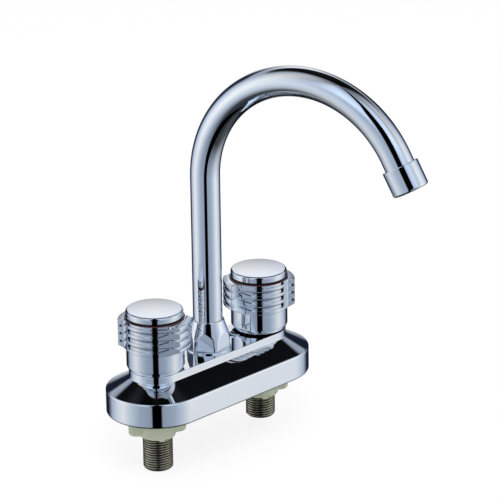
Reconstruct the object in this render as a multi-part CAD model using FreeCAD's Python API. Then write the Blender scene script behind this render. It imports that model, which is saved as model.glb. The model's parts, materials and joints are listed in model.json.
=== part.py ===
"""Two-handle basin tap on a 4 inch base plate, with a swivelling gooseneck spout.

Millimetres, +Z up. The origin is the middle of the base's underside, where it meets the basin.
The handles stand on the X axis and the spout reaches out over -Y.
Both valves screw down: a turning spindle lifts a washer off its seat.
The left valve is drawn shut and the right one is drawn part open.
"""

import FreeCAD, Part
import math
import os
from FreeCAD import Placement, Rotation, Vector

# Fits between pieces
RUN_FIT = 0.05
SLIP_FIT = 0.2
THREAD_FIT = 0.05

# Base cover: a low oval rim, a sloping top and a narrow raised tier under the handles
HANDLE_SPACING = 101.6
BASE_WIDTH = 70.0
RIM_HEIGHT = 17.4
RIM_ROUNDING = 1.3
TIER_FOOT_HEIGHT = 26.2
TIER_WIDTH = 37.4
TIER_TOP = 31.5
TIER_ROUNDING = 0.5
COVER_WALL = 2.4

# Bottom plate that closes the cover, level with its rim
PLATE_THICKNESS = 3.0

# Waterway: two valve chambers and a spout well, joined by a cross tube
TOWER_RADIUS = 13.0
WELL_RADIUS = 12.8
SEAT_WEB_THICKNESS = 2.2
SEAT_HOLE_RADIUS = 4.5
CHAMBER_RADIUS = 9.0
CROSS_TUBE_RADIUS = 5.8
CROSS_BORE_RADIUS = 3.8
CROSS_TUBE_HEIGHT = 16.5
WELL_FLOOR_HEIGHT = 12.2
WELL_BOTTOM_HEIGHT = 9.0

# Inlet shanks with a half inch pipe thread, and their plastic mounting nuts
SHANK_RADIUS = 10.45
SHANK_BORE_RADIUS = 7.5
SHANK_BORE_TOP = -2.0
SHANK_THROAT_RADIUS = 6.6
SHANK_TOP = 10.0
LEFT_SHANK_BOTTOM = -43.0
RIGHT_SHANK_BOTTOM = -35.2
THREAD_PITCH = 1.814
THREAD_DEPTH = 0.7
THREAD_TOP = -1.0
THREAD_ROOT_SHARE = 0.08
THREAD_MOUTH_SHARE = 0.42
SHANK_CHAMFER = 1.2
NUT_RADIUS = 12.6
NUT_BOTTOM = -18.5
NUT_TOP = -4.5
NUT_LUG_DROP = 0.9
NUT_LUG_WIDTH = 4.6
WING_REACH = 20.4
WING_WIDTH = 7.6
WING_BOTTOM = -17.4
WING_ROUNDING = 2.0
WING_ANGLE = 150.0
LUG_ANGLE = -118.0

# Headwork: the fixed part of each valve
HEADWORK_BOTTOM = 21.5
GLAND_WASHER_RADIUS = 13.6
GLAND_WASHER_THICKNESS = 1.0
HEX_ACROSS_FLATS = 24.0
HEX_HEIGHT = 7.0
NECK_RADIUS = 8.5
NECK_TOP = 49.0
DRIVE_BORE_TOP = 32.0

# Spindle, with the washer that shuts the seat
DRIVE_RADIUS = 7.0
DRIVE_LENGTH = 10.5
STEM_RADIUS = 4.5
STEM_SHOULDER = 50.5
SPLINE_TOP = 61.5
SPLINE_RADIUS = 4.0
SPLINE_DEPTH = 0.45
SPLINE_TEETH = 20
SEAL_GROOVE_DEPTH = 1.1
SEAL_WIDTH = 1.04
SEAL_HEIGHTS = (37.0, 43.0)
SEAT_WASHER_THICKNESS = 2.8
SEAT_WASHER_RADIUS = 6.0
JUMPER_RADIUS = 6.4
JUMPER_THICKNESS = 2.0
JUMPER_PIN_RADIUS = 2.5
JUMPER_PIN_LENGTH = 6.0
WASHER_SCREW_RADIUS = 1.5
WASHER_SCREW_HEAD_RADIUS = 2.6
WASHER_SCREW_HEAD_HEIGHT = 1.2
VALVE_LEAD = 1.5
RIGHT_VALVE_TURN = 263.0

# Handle: a smooth skirt under a ribbed band with two blunt ears
SKIRT_GAP = 0.4
SKIRT_RADIUS = 20.1
SKIRT_WALL = 2.8
SKIRT_CHAMFER_RADIAL = 1.2
SKIRT_CHAMFER_HEIGHT = 2.8
BAND_BOTTOM = 47.0
BAND_TOP = 68.8
BAND_RADIUS = 20.7
EAR_RADIUS = 25.4
EAR_ARC = 51.4
PAD_ARC = 20.0
EAR_UNDERCUT_SLOPE = 0.5
EAR_TOP_SLOPE = 0.22
RIB_COUNT = 4
RIB_PITCH = 5.6
RIB_HEIGHT = 2.8
RIB_DEPTH = 1.0
RIB_GROOVE_TAPER = 0.5
EAR_GROOVE_DEPTH = 2.0
EAR_GROOVE_MOUTH = 1.9
EAR_GROOVE_FLOOR = 1.1
LEFT_HANDLE_ANGLE = 140.0
HUB_RADIUS = 8.0
DECK_BOTTOM = 59.5
DECK_TOP = 64.0
RECESS_RADIUS = 18.2
HANDLE_SCREW_RADIUS = 2.0
HANDLE_SCREW_HEAD_RADIUS = 3.6
HANDLE_SCREW_HEAD_HEIGHT = 2.4
HANDLE_SCREW_BOTTOM = 53.0
SCREW_SLOT_WIDTH = 0.9
SCREW_SLOT_DEPTH = 1.2
HUB_WEB_BOTTOM = 62.0

# Index ring and cap on top of the handle
RING_RADIUS = 20.9
RING_THICKNESS = 0.8
CAP_RADIUS = 19.9
CAP_HEIGHT = 5.3
CAP_DOME = 0.8
CAP_ROUNDING = 0.9
CAP_WALL = 1.6

# Spout socket, its boss ring and the conical spout nut
SOCKET_RADIUS = 12.45
SOCKET_SPIGOT_RADIUS = 9.6
SOCKET_SPIGOT_LENGTH = 7.0
SOCKET_BORE_RADIUS = 8.0
SOCKET_FLOOR = 33.0
SOCKET_TOP = 41.5
BOSS_RADIUS = 16.0
BOSS_HEIGHT = 1.1
NUT_CONE_BOTTOM_RADIUS = 15.4
NUT_CONE_WAIST_RADIUS = 14.9
NUT_CONE_WAIST_HEIGHT = 42.0
NUT_CONE_TOP_RADIUS = 11.1
NUT_CONE_TOP = 53.4
NUT_CONE_FLATS = 27.6
NUT_CONE_SHOULDER = 44.0
NUT_CONE_FLAT_ANGLE = 37.0

# Spout
SPOUT_RADIUS = 10.35
SPOUT_WALL = 1.2
SPOUT_SWIVEL = 13.2
BEND_START_HEIGHT = 157.4
BEND_RADIUS = 79.2
BEND_ANGLE = 151.0
TIP_STRAIGHT = 6.5
TAIL_FLANGE_THICKNESS = 1.5
TAIL_PLUG_LENGTH = 9.0
TAIL_BOTTOM = 21.0
TAIL_WALL = 2.4
TAIL_SEAL_HEIGHTS = (24.5, 29.0)
TAIL_SEAL_GROOVE = 1.1
CLIP_RADIUS = 12.0
CLIP_THICKNESS = 1.6
CLIP_GROOVE_DEPTH = 0.45
CLIP_BOTTOM = 42.2
CLIP_OPENING = 40.0

# Outlet collar and flow straightener at the spout's tip, along the tip's own axis
COLLAR_RADIUS = 12.6
COLLAR_LENGTH = 18.0
COLLAR_ROUNDING = 1.6
COLLAR_SLEEVE = 6.0
COLLAR_LIP_THICKNESS = 1.0
COLLAR_LIP_RADIUS = 9.6
TIP_WASHER_THICKNESS = 1.5
TIP_WASHER_HOLE = 7.0
INSERT_RADIUS = 10.5
INSERT_WALL = 1.4
INSERT_PLATE_THICKNESS = 1.2
SCREEN_THICKNESS = 0.5
SCREEN_INSET = 1.6
PLATE_HOLE_RADIUS = 0.9
SCREEN_HOLE_RADIUS = 0.55

# Places that follow from the sizes above
HALF_SPACING = HANDLE_SPACING / 2.0
BASE_RADIUS = BASE_WIDTH / 2.0
TIER_RADIUS = TIER_WIDTH / 2.0
COVER_CEILING = TIER_TOP - COVER_WALL
SEAT_HEIGHT = SHANK_TOP + SEAT_WEB_THICKNESS
HEADWORK_RADIUS = CHAMBER_RADIUS - THREAD_FIT
WASHER_TOP = TIER_TOP + GLAND_WASHER_THICKNESS
HEX_TOP = WASHER_TOP + HEX_HEIGHT
JUMPER_BOTTOM = SEAT_HEIGHT + SEAT_WASHER_THICKNESS
SPINDLE_BOTTOM = JUMPER_BOTTOM + JUMPER_THICKNESS
SKIRT_BOTTOM = TIER_TOP + SKIRT_GAP
RIGHT_VALVE_LIFT = VALVE_LEAD * RIGHT_VALVE_TURN / 360.0
RIGHT_HANDLE_ANGLE = 180.0 - LEFT_HANDLE_ANGLE + RIGHT_VALVE_TURN
RAMP_ARC = math.degrees(math.acos(BAND_RADIUS / EAR_RADIUS))
BOSS_TOP = TIER_TOP + BOSS_HEIGHT
PIPE_BOTTOM = SOCKET_FLOOR + TAIL_FLANGE_THICKNESS
SPOUT_BORE = SPOUT_RADIUS - SPOUT_WALL
TAIL_RADIUS = SOCKET_BORE_RADIUS - RUN_FIT - SLIP_FIT
UP = Vector(0, 0, 1)
ORIGIN = Vector(0, 0, 0)


def cylinder(radius, bottom, top, x=0.0):
    """Upright cylinder between two heights."""
    return Part.makeCylinder(radius, top - bottom, Vector(x, 0, bottom))


def tube(outer, inner, bottom, top, x=0.0):
    """Upright ring or tube between two heights."""
    return cylinder(outer, bottom, top, x).cut(cylinder(inner, bottom, top, x))


def turned(points, angle=360.0, start=0.0):
    """Solid turned about the Z axis from (radius, height) points."""
    corners = [Vector(radius, 0, height) for radius, height in points]
    face = Part.Face(Part.makePolygon(corners + corners[:1]))
    if start:
        face.rotate(ORIGIN, UP, start)
    return face.revolve(ORIGIN, UP, angle)


def hexagon(across_flats, bottom, top, flat_angle=0.0):
    """Upright hexagonal prism with one flat facing flat_angle."""
    corner_radius = across_flats / 2.0 / math.cos(math.pi / 6)
    corners = []
    for index in range(6):
        turn = math.radians(flat_angle + 30.0 + 60.0 * index)
        corners.append(Vector(corner_radius * math.cos(turn), corner_radius * math.sin(turn), bottom))
    return Part.Face(Part.makePolygon(corners + corners[:1])).extrude(Vector(0, 0, top - bottom))


def oval(points):
    """Oval solid: (radius, height) points turned at both handle axes and drawn out between them."""
    ends = []
    for x in (-HALF_SPACING, HALF_SPACING):
        end = turned(points)
        end.translate(Vector(x, 0, 0))
        ends.append(end)
    half = [Vector(-HALF_SPACING, radius, height) for radius, height in points]
    mirrored = [Vector(-HALF_SPACING, -radius, height) for radius, height in reversed(points)]
    section = Part.Face(Part.makePolygon(half + mirrored + half[:1]))
    middle = section.extrude(Vector(HANDLE_SPACING, 0, 0))
    return middle.fuse(ends).removeSplitter()


def edges_at(shape, height):
    """Edges that lie level at one height."""
    found = []
    for edge in shape.Edges:
        box = edge.BoundBox
        if abs(box.ZMin - height) < 1e-4 and abs(box.ZMax - height) < 1e-4:
            found.append(edge)
    return found


def base_cover():
    """Chromed cover: rim, sloping top and raised tier, hollow from below."""
    outside = oval([
        (0.01, 0.0),
        (BASE_RADIUS, 0.0),
        (BASE_RADIUS, RIM_HEIGHT),
        (TIER_RADIUS, TIER_FOOT_HEIGHT),
        (TIER_RADIUS, TIER_TOP),
        (0.01, TIER_TOP),
    ])
    outside = outside.makeFillet(TIER_ROUNDING, edges_at(outside, TIER_TOP))
    outside = outside.makeFillet(RIM_ROUNDING, edges_at(outside, RIM_HEIGHT))
    inside = oval([
        (0.01, -1.0),
        (BASE_RADIUS - COVER_WALL, -1.0),
        (BASE_RADIUS - COVER_WALL, RIM_HEIGHT - COVER_WALL / 2.0),
        (TIER_RADIUS - COVER_WALL, TIER_FOOT_HEIGHT - COVER_WALL / 2.0),
        (TIER_RADIUS - COVER_WALL, COVER_CEILING),
        (0.01, COVER_CEILING),
    ])
    cover = outside.cut(inside)
    for x in (-HALF_SPACING, HALF_SPACING):
        cover = cover.cut(cylinder(HEADWORK_RADIUS + SLIP_FIT, COVER_CEILING - 1.0, TIER_TOP + 1.0, x))
    return cover.cut(cylinder(SOCKET_RADIUS + SLIP_FIT, COVER_CEILING - 1.0, TIER_TOP + 1.0))


def base_plate():
    """Flat plastic plate that closes the cover and backs the waterway."""
    radius = BASE_RADIUS - COVER_WALL - SLIP_FIT
    plate = oval([(0.01, 0.0), (radius, 0.0), (radius, PLATE_THICKNESS), (0.01, PLATE_THICKNESS)])
    for x in (-HALF_SPACING, HALF_SPACING):
        plate = plate.cut(cylinder(SHANK_RADIUS + SLIP_FIT, -1.0, PLATE_THICKNESS + 1.0, x))
    return plate


def waterway():
    """Brass body: a valve chamber over each shank, the spout well and the tube between them."""
    body = cylinder(WELL_RADIUS, WELL_BOTTOM_HEIGHT, COVER_CEILING)
    for x in (-HALF_SPACING, HALF_SPACING):
        body = body.fuse(cylinder(TOWER_RADIUS, PLATE_THICKNESS, COVER_CEILING, x))
    tube_start = Vector(-HALF_SPACING, 0, CROSS_TUBE_HEIGHT)
    along = Vector(1, 0, 0)
    body = body.fuse(Part.makeCylinder(CROSS_TUBE_RADIUS, HANDLE_SPACING, tube_start, along))
    for x in (-HALF_SPACING, HALF_SPACING):
        body = body.cut(cylinder(SHANK_RADIUS + THREAD_FIT, PLATE_THICKNESS - 1.0, SHANK_TOP, x))
        body = body.cut(cylinder(SEAT_HOLE_RADIUS, SHANK_TOP - 1.0, SEAT_HEIGHT + 1.0, x))
        body = body.cut(cylinder(CHAMBER_RADIUS, SEAT_HEIGHT, COVER_CEILING + 1.0, x))
    body = body.cut(cylinder(SOCKET_BORE_RADIUS, WELL_FLOOR_HEIGHT, COVER_CEILING + 1.0))
    spigot_bottom = COVER_CEILING - SOCKET_SPIGOT_LENGTH
    body = body.cut(cylinder(SOCKET_SPIGOT_RADIUS + THREAD_FIT, spigot_bottom, COVER_CEILING + 1.0))
    body = body.cut(Part.makeCylinder(CROSS_BORE_RADIUS, HANDLE_SPACING, tube_start, along))
    return body


def thread_cutter(bottom):
    """Helical V that leaves a pipe thread on a shank, from its foot to just under the base."""
    root = SHANK_RADIUS - THREAD_DEPTH
    outer = SHANK_RADIUS + THREAD_DEPTH / 2.0
    start = bottom - THREAD_PITCH
    helix = Part.makeHelix(THREAD_PITCH, THREAD_TOP - start, root)
    helix.translate(Vector(0, 0, start))
    root_half = THREAD_ROOT_SHARE * THREAD_PITCH
    mouth_half = THREAD_MOUTH_SHARE * THREAD_PITCH
    corners = [
        Vector(root, 0, start - root_half),
        Vector(outer, 0, start - mouth_half),
        Vector(outer, 0, start + mouth_half),
        Vector(root, 0, start + root_half),
    ]
    profile = Part.makePolygon(corners + corners[:1])
    return Part.Wire(helix.Edges).makePipeShell([profile], True, True)


def inlet_shank(x, bottom):
    """Threaded pipe that carries water up through the basin's hole, with a throat inside the base."""
    rod = cylinder(SHANK_RADIUS, bottom, SHANK_TOP)
    rod = rod.makeChamfer(SHANK_CHAMFER, edges_at(rod, bottom))
    rod = rod.cut(thread_cutter(bottom))
    rod = rod.cut(cylinder(SHANK_BORE_RADIUS, bottom - 1.0, SHANK_BORE_TOP))
    rod = rod.cut(cylinder(SHANK_THROAT_RADIUS, SHANK_BORE_TOP - 1.0, SHANK_TOP + 1.0))
    rod.translate(Vector(x, 0, 0))
    return rod


def nut_wing():
    """One rounded wing of a mounting nut, along +X."""
    tip_radius = WING_WIDTH / 2.0
    root = NUT_RADIUS / 2.0
    tip_centre = WING_REACH - tip_radius
    height = NUT_TOP - WING_BOTTOM
    arm = Part.makeBox(tip_centre - root, WING_WIDTH, height, Vector(root, -tip_radius, WING_BOTTOM))
    wing = arm.fuse(cylinder(tip_radius, WING_BOTTOM, NUT_TOP, tip_centre)).removeSplitter()
    return wing.makeFillet(WING_ROUNDING, edges_at(wing, WING_BOTTOM))


def nut_lug():
    """Small foot on the nut's lower rim, along +X."""
    corner = Vector(0, -NUT_LUG_WIDTH / 2.0, NUT_BOTTOM - NUT_LUG_DROP)
    block = Part.makeBox(NUT_RADIUS * 2.0, NUT_LUG_WIDTH, NUT_LUG_DROP * 2.0, corner)
    return block.common(cylinder(NUT_RADIUS, NUT_BOTTOM - NUT_LUG_DROP, NUT_TOP))


def mounting_nut(x):
    """Plastic wing nut on a shank, which pulls the tap down on the basin."""
    nut = cylinder(NUT_RADIUS, NUT_BOTTOM, NUT_TOP)
    for turn in (0.0, 180.0):
        wing = nut_wing()
        wing.rotate(ORIGIN, UP, WING_ANGLE + turn)
        lug = nut_lug()
        lug.rotate(ORIGIN, UP, LUG_ANGLE + turn)
        nut = nut.fuse([wing, lug])
    nut = nut.cut(cylinder(SHANK_RADIUS + THREAD_FIT, NUT_BOTTOM - 5.0, NUT_TOP + 1.0))
    nut = nut.removeSplitter()
    nut.translate(Vector(x, 0, 0))
    return nut


def gland_washer():
    """Fibre washer between a headwork and the cover."""
    return tube(GLAND_WASHER_RADIUS, HEADWORK_RADIUS + SLIP_FIT, TIER_TOP, WASHER_TOP)


def headwork():
    """Brass headwork: threaded into the chamber, with a hexagon that clamps the cover."""
    body = cylinder(HEADWORK_RADIUS, HEADWORK_BOTTOM, WASHER_TOP + 1.0)
    body = body.fuse(hexagon(HEX_ACROSS_FLATS, WASHER_TOP, HEX_TOP))
    body = body.fuse(cylinder(NECK_RADIUS, HEX_TOP - 1.0, NECK_TOP)).removeSplitter()
    body = body.cut(cylinder(DRIVE_RADIUS + THREAD_FIT, HEADWORK_BOTTOM - 1.0, DRIVE_BORE_TOP))
    return body.cut(cylinder(STEM_RADIUS + RUN_FIT, DRIVE_BORE_TOP - 1.0, NECK_TOP + 1.0))


def seat_washer():
    """Rubber washer that shuts the seat."""
    return tube(SEAT_WASHER_RADIUS, WASHER_SCREW_RADIUS + RUN_FIT, SEAT_HEIGHT, JUMPER_BOTTOM)


def washer_screw():
    """Screw that holds the rubber washer to the jumper."""
    head = cylinder(WASHER_SCREW_HEAD_RADIUS, SEAT_HEIGHT - WASHER_SCREW_HEAD_HEIGHT, SEAT_HEIGHT)
    return head.fuse(cylinder(WASHER_SCREW_RADIUS, SEAT_HEIGHT - 0.5, SPINDLE_BOTTOM)).removeSplitter()


def jumper():
    """Brass washer plate with a pin that turns free in the spindle."""
    plate = cylinder(JUMPER_RADIUS, JUMPER_BOTTOM, SPINDLE_BOTTOM)
    pin = cylinder(JUMPER_PIN_RADIUS, SPINDLE_BOTTOM - 0.5, SPINDLE_BOTTOM + JUMPER_PIN_LENGTH)
    hole = cylinder(WASHER_SCREW_RADIUS + RUN_FIT, JUMPER_BOTTOM - 1.0, SPINDLE_BOTTOM)
    return plate.fuse(pin).removeSplitter().cut(hole)


def spline(radius, bottom, top):
    """Toothed rod end that drives the handle."""
    corners = []
    for index in range(2 * SPLINE_TEETH):
        reach = radius if index % 2 == 0 else radius - SPLINE_DEPTH
        turn = math.pi * index / SPLINE_TEETH
        corners.append(Vector(reach * math.cos(turn), reach * math.sin(turn), bottom))
    return Part.Face(Part.makePolygon(corners + corners[:1])).extrude(Vector(0, 0, top - bottom))


def spindle():
    """Brass spindle: a drive thread below, a sealed stem and a splined end."""
    drive_top = SPINDLE_BOTTOM + DRIVE_LENGTH
    rod = cylinder(DRIVE_RADIUS, SPINDLE_BOTTOM, drive_top)
    rod = rod.fuse(cylinder(STEM_RADIUS, drive_top - 1.0, STEM_SHOULDER))
    rod = rod.fuse(spline(SPLINE_RADIUS, STEM_SHOULDER - 1.0, SPLINE_TOP)).removeSplitter()
    pin_hole_top = SPINDLE_BOTTOM + JUMPER_PIN_LENGTH + SLIP_FIT
    rod = rod.cut(cylinder(JUMPER_PIN_RADIUS + RUN_FIT, SPINDLE_BOTTOM - 1.0, pin_hole_top))
    for height in SEAL_HEIGHTS:
        half = SEAL_WIDTH / 2.0 + RUN_FIT
        groove_floor = STEM_RADIUS - SEAL_GROOVE_DEPTH
        rod = rod.cut(tube(STEM_RADIUS + 1.0, groove_floor, height - half, height + half))
    screw_hole = HANDLE_SCREW_RADIUS + THREAD_FIT
    return rod.cut(cylinder(screw_hole, HANDLE_SCREW_BOTTOM - 0.5, SPLINE_TOP + 1.0))


def seal_rings(outer_radius, heights, width):
    """Rubber rings of round section whose outside reaches outer_radius."""
    section = width / 2.0
    rings = [Part.makeTorus(outer_radius - section, section, Vector(0, 0, height)) for height in heights]
    return Part.makeCompound(rings)


def band_outline():
    """Plan of the ribbed band: a circle with two ears.

    Each ear starts with a flat pad and a step, follows its own larger circle and runs back
    to the band along a straight ramp.
    """
    step_foot = BAND_RADIUS / math.cos(math.radians(PAD_ARC))
    ramp_root = EAR_ARC + RAMP_ARC
    edges = []
    for ear in (0.0, 180.0):
        pad_start = at_angle(BAND_RADIUS, ear - PAD_ARC)
        step_start = at_angle(step_foot, ear)
        step_end = at_angle(EAR_RADIUS, ear)
        crease = at_angle(EAR_RADIUS, ear + EAR_ARC)
        root = at_angle(BAND_RADIUS, ear + ramp_root)
        next_pad = at_angle(BAND_RADIUS, ear + 180.0 - PAD_ARC)
        crown = at_angle(EAR_RADIUS, ear + EAR_ARC / 2.0)
        plain_middle = at_angle(BAND_RADIUS, ear + (ramp_root + 180.0 - PAD_ARC) / 2.0)
        edges.append(Part.makeLine(pad_start, step_start))
        edges.append(Part.makeLine(step_start, step_end))
        edges.append(Part.Arc(step_end, crown, crease).toShape())
        edges.append(Part.makeLine(crease, root))
        edges.append(Part.Arc(root, plain_middle, next_pad).toShape())
    return Part.Face(Part.Wire(edges))


def at_angle(radius, angle, height=BAND_BOTTOM):
    """Point at a radius, a plan angle in degrees and a height."""
    turn = math.radians(angle)
    return Vector(radius * math.cos(turn), radius * math.sin(turn), height)


def groove_section(floor, mouth, floor_width, mouth_width, height):
    """Tapered groove section as (radius, height) points, open outwards."""
    return [
        (floor, height - floor_width / 2.0),
        (mouth, height - mouth_width / 2.0),
        (mouth, height + mouth_width / 2.0),
        (floor, height + floor_width / 2.0),
    ]


def rib_groove_section(rib_top):
    """Section of the wide groove that stands on a rib of the band."""
    floor = BAND_RADIUS - RIB_DEPTH
    mouth = BAND_RADIUS + 0.01
    width = RIB_PITCH - RIB_HEIGHT
    middle = rib_top + width / 2.0
    return groove_section(floor, mouth, width - 2.0 * RIB_GROOVE_TAPER, width, middle)


def ramp_groove(rib_top):
    """Continuation of a wide groove along the ramp, narrowing to a point at the ear."""
    angle = EAR_ARC + RAMP_ARC
    corners = [at_angle(radius, angle, height) for radius, height in rib_groove_section(rib_top)]
    reach = math.sqrt(EAR_RADIUS ** 2 - BAND_RADIUS ** 2)
    point = Vector(BAND_RADIUS + 0.01, -reach, rib_top + RIB_PITCH - RIB_HEIGHT)
    point = Placement(ORIGIN, Rotation(UP, angle)).multVec(point)
    return Part.makeLoft([Part.makePolygon(corners + corners[:1]), Part.Vertex(point)], True, True)


def handle_band():
    """Ribbed band with its ears: wide grooves round the plain sides, narrow ones round the ears."""
    band = band_outline().extrude(Vector(0, 0, BAND_TOP - BAND_BOTTOM))
    outer = EAR_RADIUS + 1.0
    reach = outer - BAND_RADIUS
    limits = turned([
        (0.0, BAND_BOTTOM),
        (BAND_RADIUS, BAND_BOTTOM),
        (outer, BAND_BOTTOM + EAR_UNDERCUT_SLOPE * reach),
        (outer, BAND_TOP - EAR_TOP_SLOPE * reach),
        (BAND_RADIUS, BAND_TOP),
        (0.0, BAND_TOP),
    ])
    band = band.common(limits)
    ramp_root = EAR_ARC + RAMP_ARC
    sector = 180.0 - PAD_ARC - ramp_root
    ear_floor = EAR_RADIUS - EAR_GROOVE_DEPTH
    for index in range(RIB_COUNT):
        rib_bottom = BAND_BOTTOM + index * RIB_PITCH
        rib_top = rib_bottom + RIB_HEIGHT
        if index > 0:
            narrow = groove_section(ear_floor, outer, EAR_GROOVE_FLOOR, EAR_GROOVE_MOUTH, rib_bottom)
            band = band.cut(turned(narrow))
        for ear in (0.0, 180.0):
            band = band.cut(turned(rib_groove_section(rib_top), sector, ear + ramp_root))
            groove = ramp_groove(rib_top)
            groove.rotate(ORIGIN, UP, ear)
            band = band.cut(groove)
    return band


def handle_body(mirrored):
    """Chromed handle casting: skirt, band, deck with the cap's recess, and splined hub."""
    skirt = turned([
        (0.0, SKIRT_BOTTOM),
        (SKIRT_RADIUS - SKIRT_CHAMFER_RADIAL, SKIRT_BOTTOM),
        (SKIRT_RADIUS, SKIRT_BOTTOM + SKIRT_CHAMFER_HEIGHT),
        (SKIRT_RADIUS, BAND_BOTTOM + 1.0),
        (0.0, BAND_BOTTOM + 1.0),
    ])
    band = handle_band()
    if mirrored:
        band = band.mirror(ORIGIN, Vector(0, 1, 0))
    body = band.fuse(skirt)
    body = body.cut(tube(SKIRT_RADIUS - SKIRT_WALL, HUB_RADIUS, STEM_SHOULDER, DECK_BOTTOM))
    body = body.cut(cylinder(SKIRT_RADIUS - SKIRT_WALL, SKIRT_BOTTOM - 1.0, STEM_SHOULDER))
    body = body.cut(spline(SPLINE_RADIUS + RUN_FIT, STEM_SHOULDER - 1.0, HUB_WEB_BOTTOM))
    body = body.cut(cylinder(HANDLE_SCREW_RADIUS + SLIP_FIT, HUB_WEB_BOTTOM - 1.0, DECK_TOP + 1.0))
    return body.cut(cylinder(RECESS_RADIUS, DECK_TOP, BAND_TOP + 1.0))


def handle_screw():
    """Slotted screw that holds the handle on the spindle."""
    head_top = DECK_TOP + HANDLE_SCREW_HEAD_HEIGHT
    screw = cylinder(HANDLE_SCREW_HEAD_RADIUS, DECK_TOP, head_top)
    screw = screw.fuse(cylinder(HANDLE_SCREW_RADIUS, HANDLE_SCREW_BOTTOM, DECK_TOP + 0.5)).removeSplitter()
    slot_length = 2.0 * HANDLE_SCREW_HEAD_RADIUS + 2.0
    slot_floor = head_top - SCREW_SLOT_DEPTH
    slot_corner = Vector(-slot_length / 2.0, -SCREW_SLOT_WIDTH / 2.0, slot_floor)
    return screw.cut(Part.makeBox(slot_length, SCREW_SLOT_WIDTH, SCREW_SLOT_DEPTH + 1.0, slot_corner))


def index_ring():
    """Thin dark ring between the handle and its cap."""
    return tube(RING_RADIUS, RECESS_RADIUS, BAND_TOP, BAND_TOP + RING_THICKNESS)


def cap():
    """Chromed cap, slightly domed, with a plug that fills the handle's recess."""
    rim_bottom = BAND_TOP + RING_THICKNESS
    rim_top = rim_bottom + CAP_HEIGHT
    plug_radius = RECESS_RADIUS - RUN_FIT
    dome_radius = (CAP_RADIUS ** 2 + CAP_DOME ** 2) / (2.0 * CAP_DOME)
    disc = cylinder(CAP_RADIUS, rim_bottom, rim_top + CAP_DOME)
    dome = Part.makeSphere(dome_radius, Vector(0, 0, rim_top + CAP_DOME - dome_radius))
    disc = disc.common(dome)
    disc = disc.makeFillet(CAP_ROUNDING, edges_at(disc, rim_top))
    body = disc.fuse(cylinder(plug_radius, DECK_TOP, rim_bottom + 0.5)).removeSplitter()
    return body.cut(cylinder(plug_radius - CAP_WALL, DECK_TOP - 1.0, rim_top - CAP_WALL))


def spout_socket():
    """Brass socket over the well, which the spout nut screws on and the spout turns in."""
    body = cylinder(SOCKET_RADIUS, COVER_CEILING, SOCKET_TOP)
    spigot_bottom = COVER_CEILING - SOCKET_SPIGOT_LENGTH
    body = body.fuse(cylinder(SOCKET_SPIGOT_RADIUS, spigot_bottom, COVER_CEILING + 1.0)).removeSplitter()
    body = body.cut(cylinder(SOCKET_BORE_RADIUS, spigot_bottom - 1.0, SOCKET_FLOOR + 1.0))
    return body.cut(cylinder(SPOUT_RADIUS + SLIP_FIT, SOCKET_FLOOR, SOCKET_TOP + 1.0))


def boss_ring():
    """Thin chromed ring between the cover and the spout nut."""
    ring = cylinder(BOSS_RADIUS, TIER_TOP, BOSS_TOP)
    ring = ring.makeFillet(BOSS_HEIGHT * 0.45, edges_at(ring, BOSS_TOP))
    return ring.cut(cylinder(SOCKET_RADIUS + SLIP_FIT, TIER_TOP - 1.0, BOSS_TOP + 1.0))


def spout_nut():
    """Conical chromed nut whose six flats end in arches."""
    cone = turned([
        (0.0, BOSS_TOP),
        (NUT_CONE_BOTTOM_RADIUS, BOSS_TOP),
        (NUT_CONE_WAIST_RADIUS, NUT_CONE_WAIST_HEIGHT),
        (NUT_CONE_TOP_RADIUS, NUT_CONE_TOP),
        (0.0, NUT_CONE_TOP),
    ])
    nut = cone.common(hexagon(NUT_CONE_FLATS, BOSS_TOP, NUT_CONE_TOP, NUT_CONE_FLAT_ANGLE))
    nut = nut.cut(cylinder(SOCKET_RADIUS + THREAD_FIT, BOSS_TOP - 1.0, NUT_CONE_SHOULDER))
    return nut.cut(cylinder(SPOUT_RADIUS + RUN_FIT, NUT_CONE_SHOULDER - 1.0, NUT_CONE_TOP + 1.0))


def bend(radius, arc_angle):
    """Bent rod of one radius: rises, turns over along +X and runs straight to the outlet."""
    rise = cylinder(radius, PIPE_BOTTOM, BEND_START_HEIGHT)
    disc = Part.Face(Part.Wire(Part.makeCircle(radius, Vector(0, 0, BEND_START_HEIGHT), UP)))
    arc = disc.revolve(Vector(BEND_RADIUS, 0, BEND_START_HEIGHT), Vector(0, 1, 0), arc_angle)
    start, direction = tip_frame()
    straight = Part.makeCylinder(radius, TIP_STRAIGHT + COLLAR_SLEEVE, start, direction)
    return rise.fuse([arc, straight]).removeSplitter()


def tip_frame():
    """Where the bend ends, and the way the water leaves, with the spout along +X."""
    turn = math.radians(BEND_ANGLE)
    x = BEND_RADIUS * (1.0 - math.cos(turn))
    z = BEND_START_HEIGHT + BEND_RADIUS * math.sin(turn)
    return Vector(x, 0, z), Vector(math.sin(turn), 0, math.cos(turn))


def swing(shape):
    """Turn a spout piece from +X to where the spout stands."""
    turned_shape = shape.copy()
    turned_shape.rotate(ORIGIN, UP, -90.0 + SPOUT_SWIVEL)
    return turned_shape


def at_tip(shape):
    """Carry a piece drawn upwards from the collar's upper edge to the spout's tip."""
    start, direction = tip_frame()
    seat = start + direction * TIP_STRAIGHT
    placed = shape.copy()
    placed.Placement = Placement(seat, Rotation(UP, direction))
    return swing(placed)


def spout_pipe():
    """Bent chromed tube with a groove for its clip."""
    pipe = bend(SPOUT_RADIUS, BEND_ANGLE).cut(bend(SPOUT_BORE, BEND_ANGLE))
    groove_floor = SPOUT_RADIUS - CLIP_GROOVE_DEPTH
    groove_top = CLIP_BOTTOM + CLIP_THICKNESS
    pipe = pipe.cut(tube(SPOUT_RADIUS + 1.0, groove_floor, CLIP_BOTTOM, groove_top))
    return swing(pipe)


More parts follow.
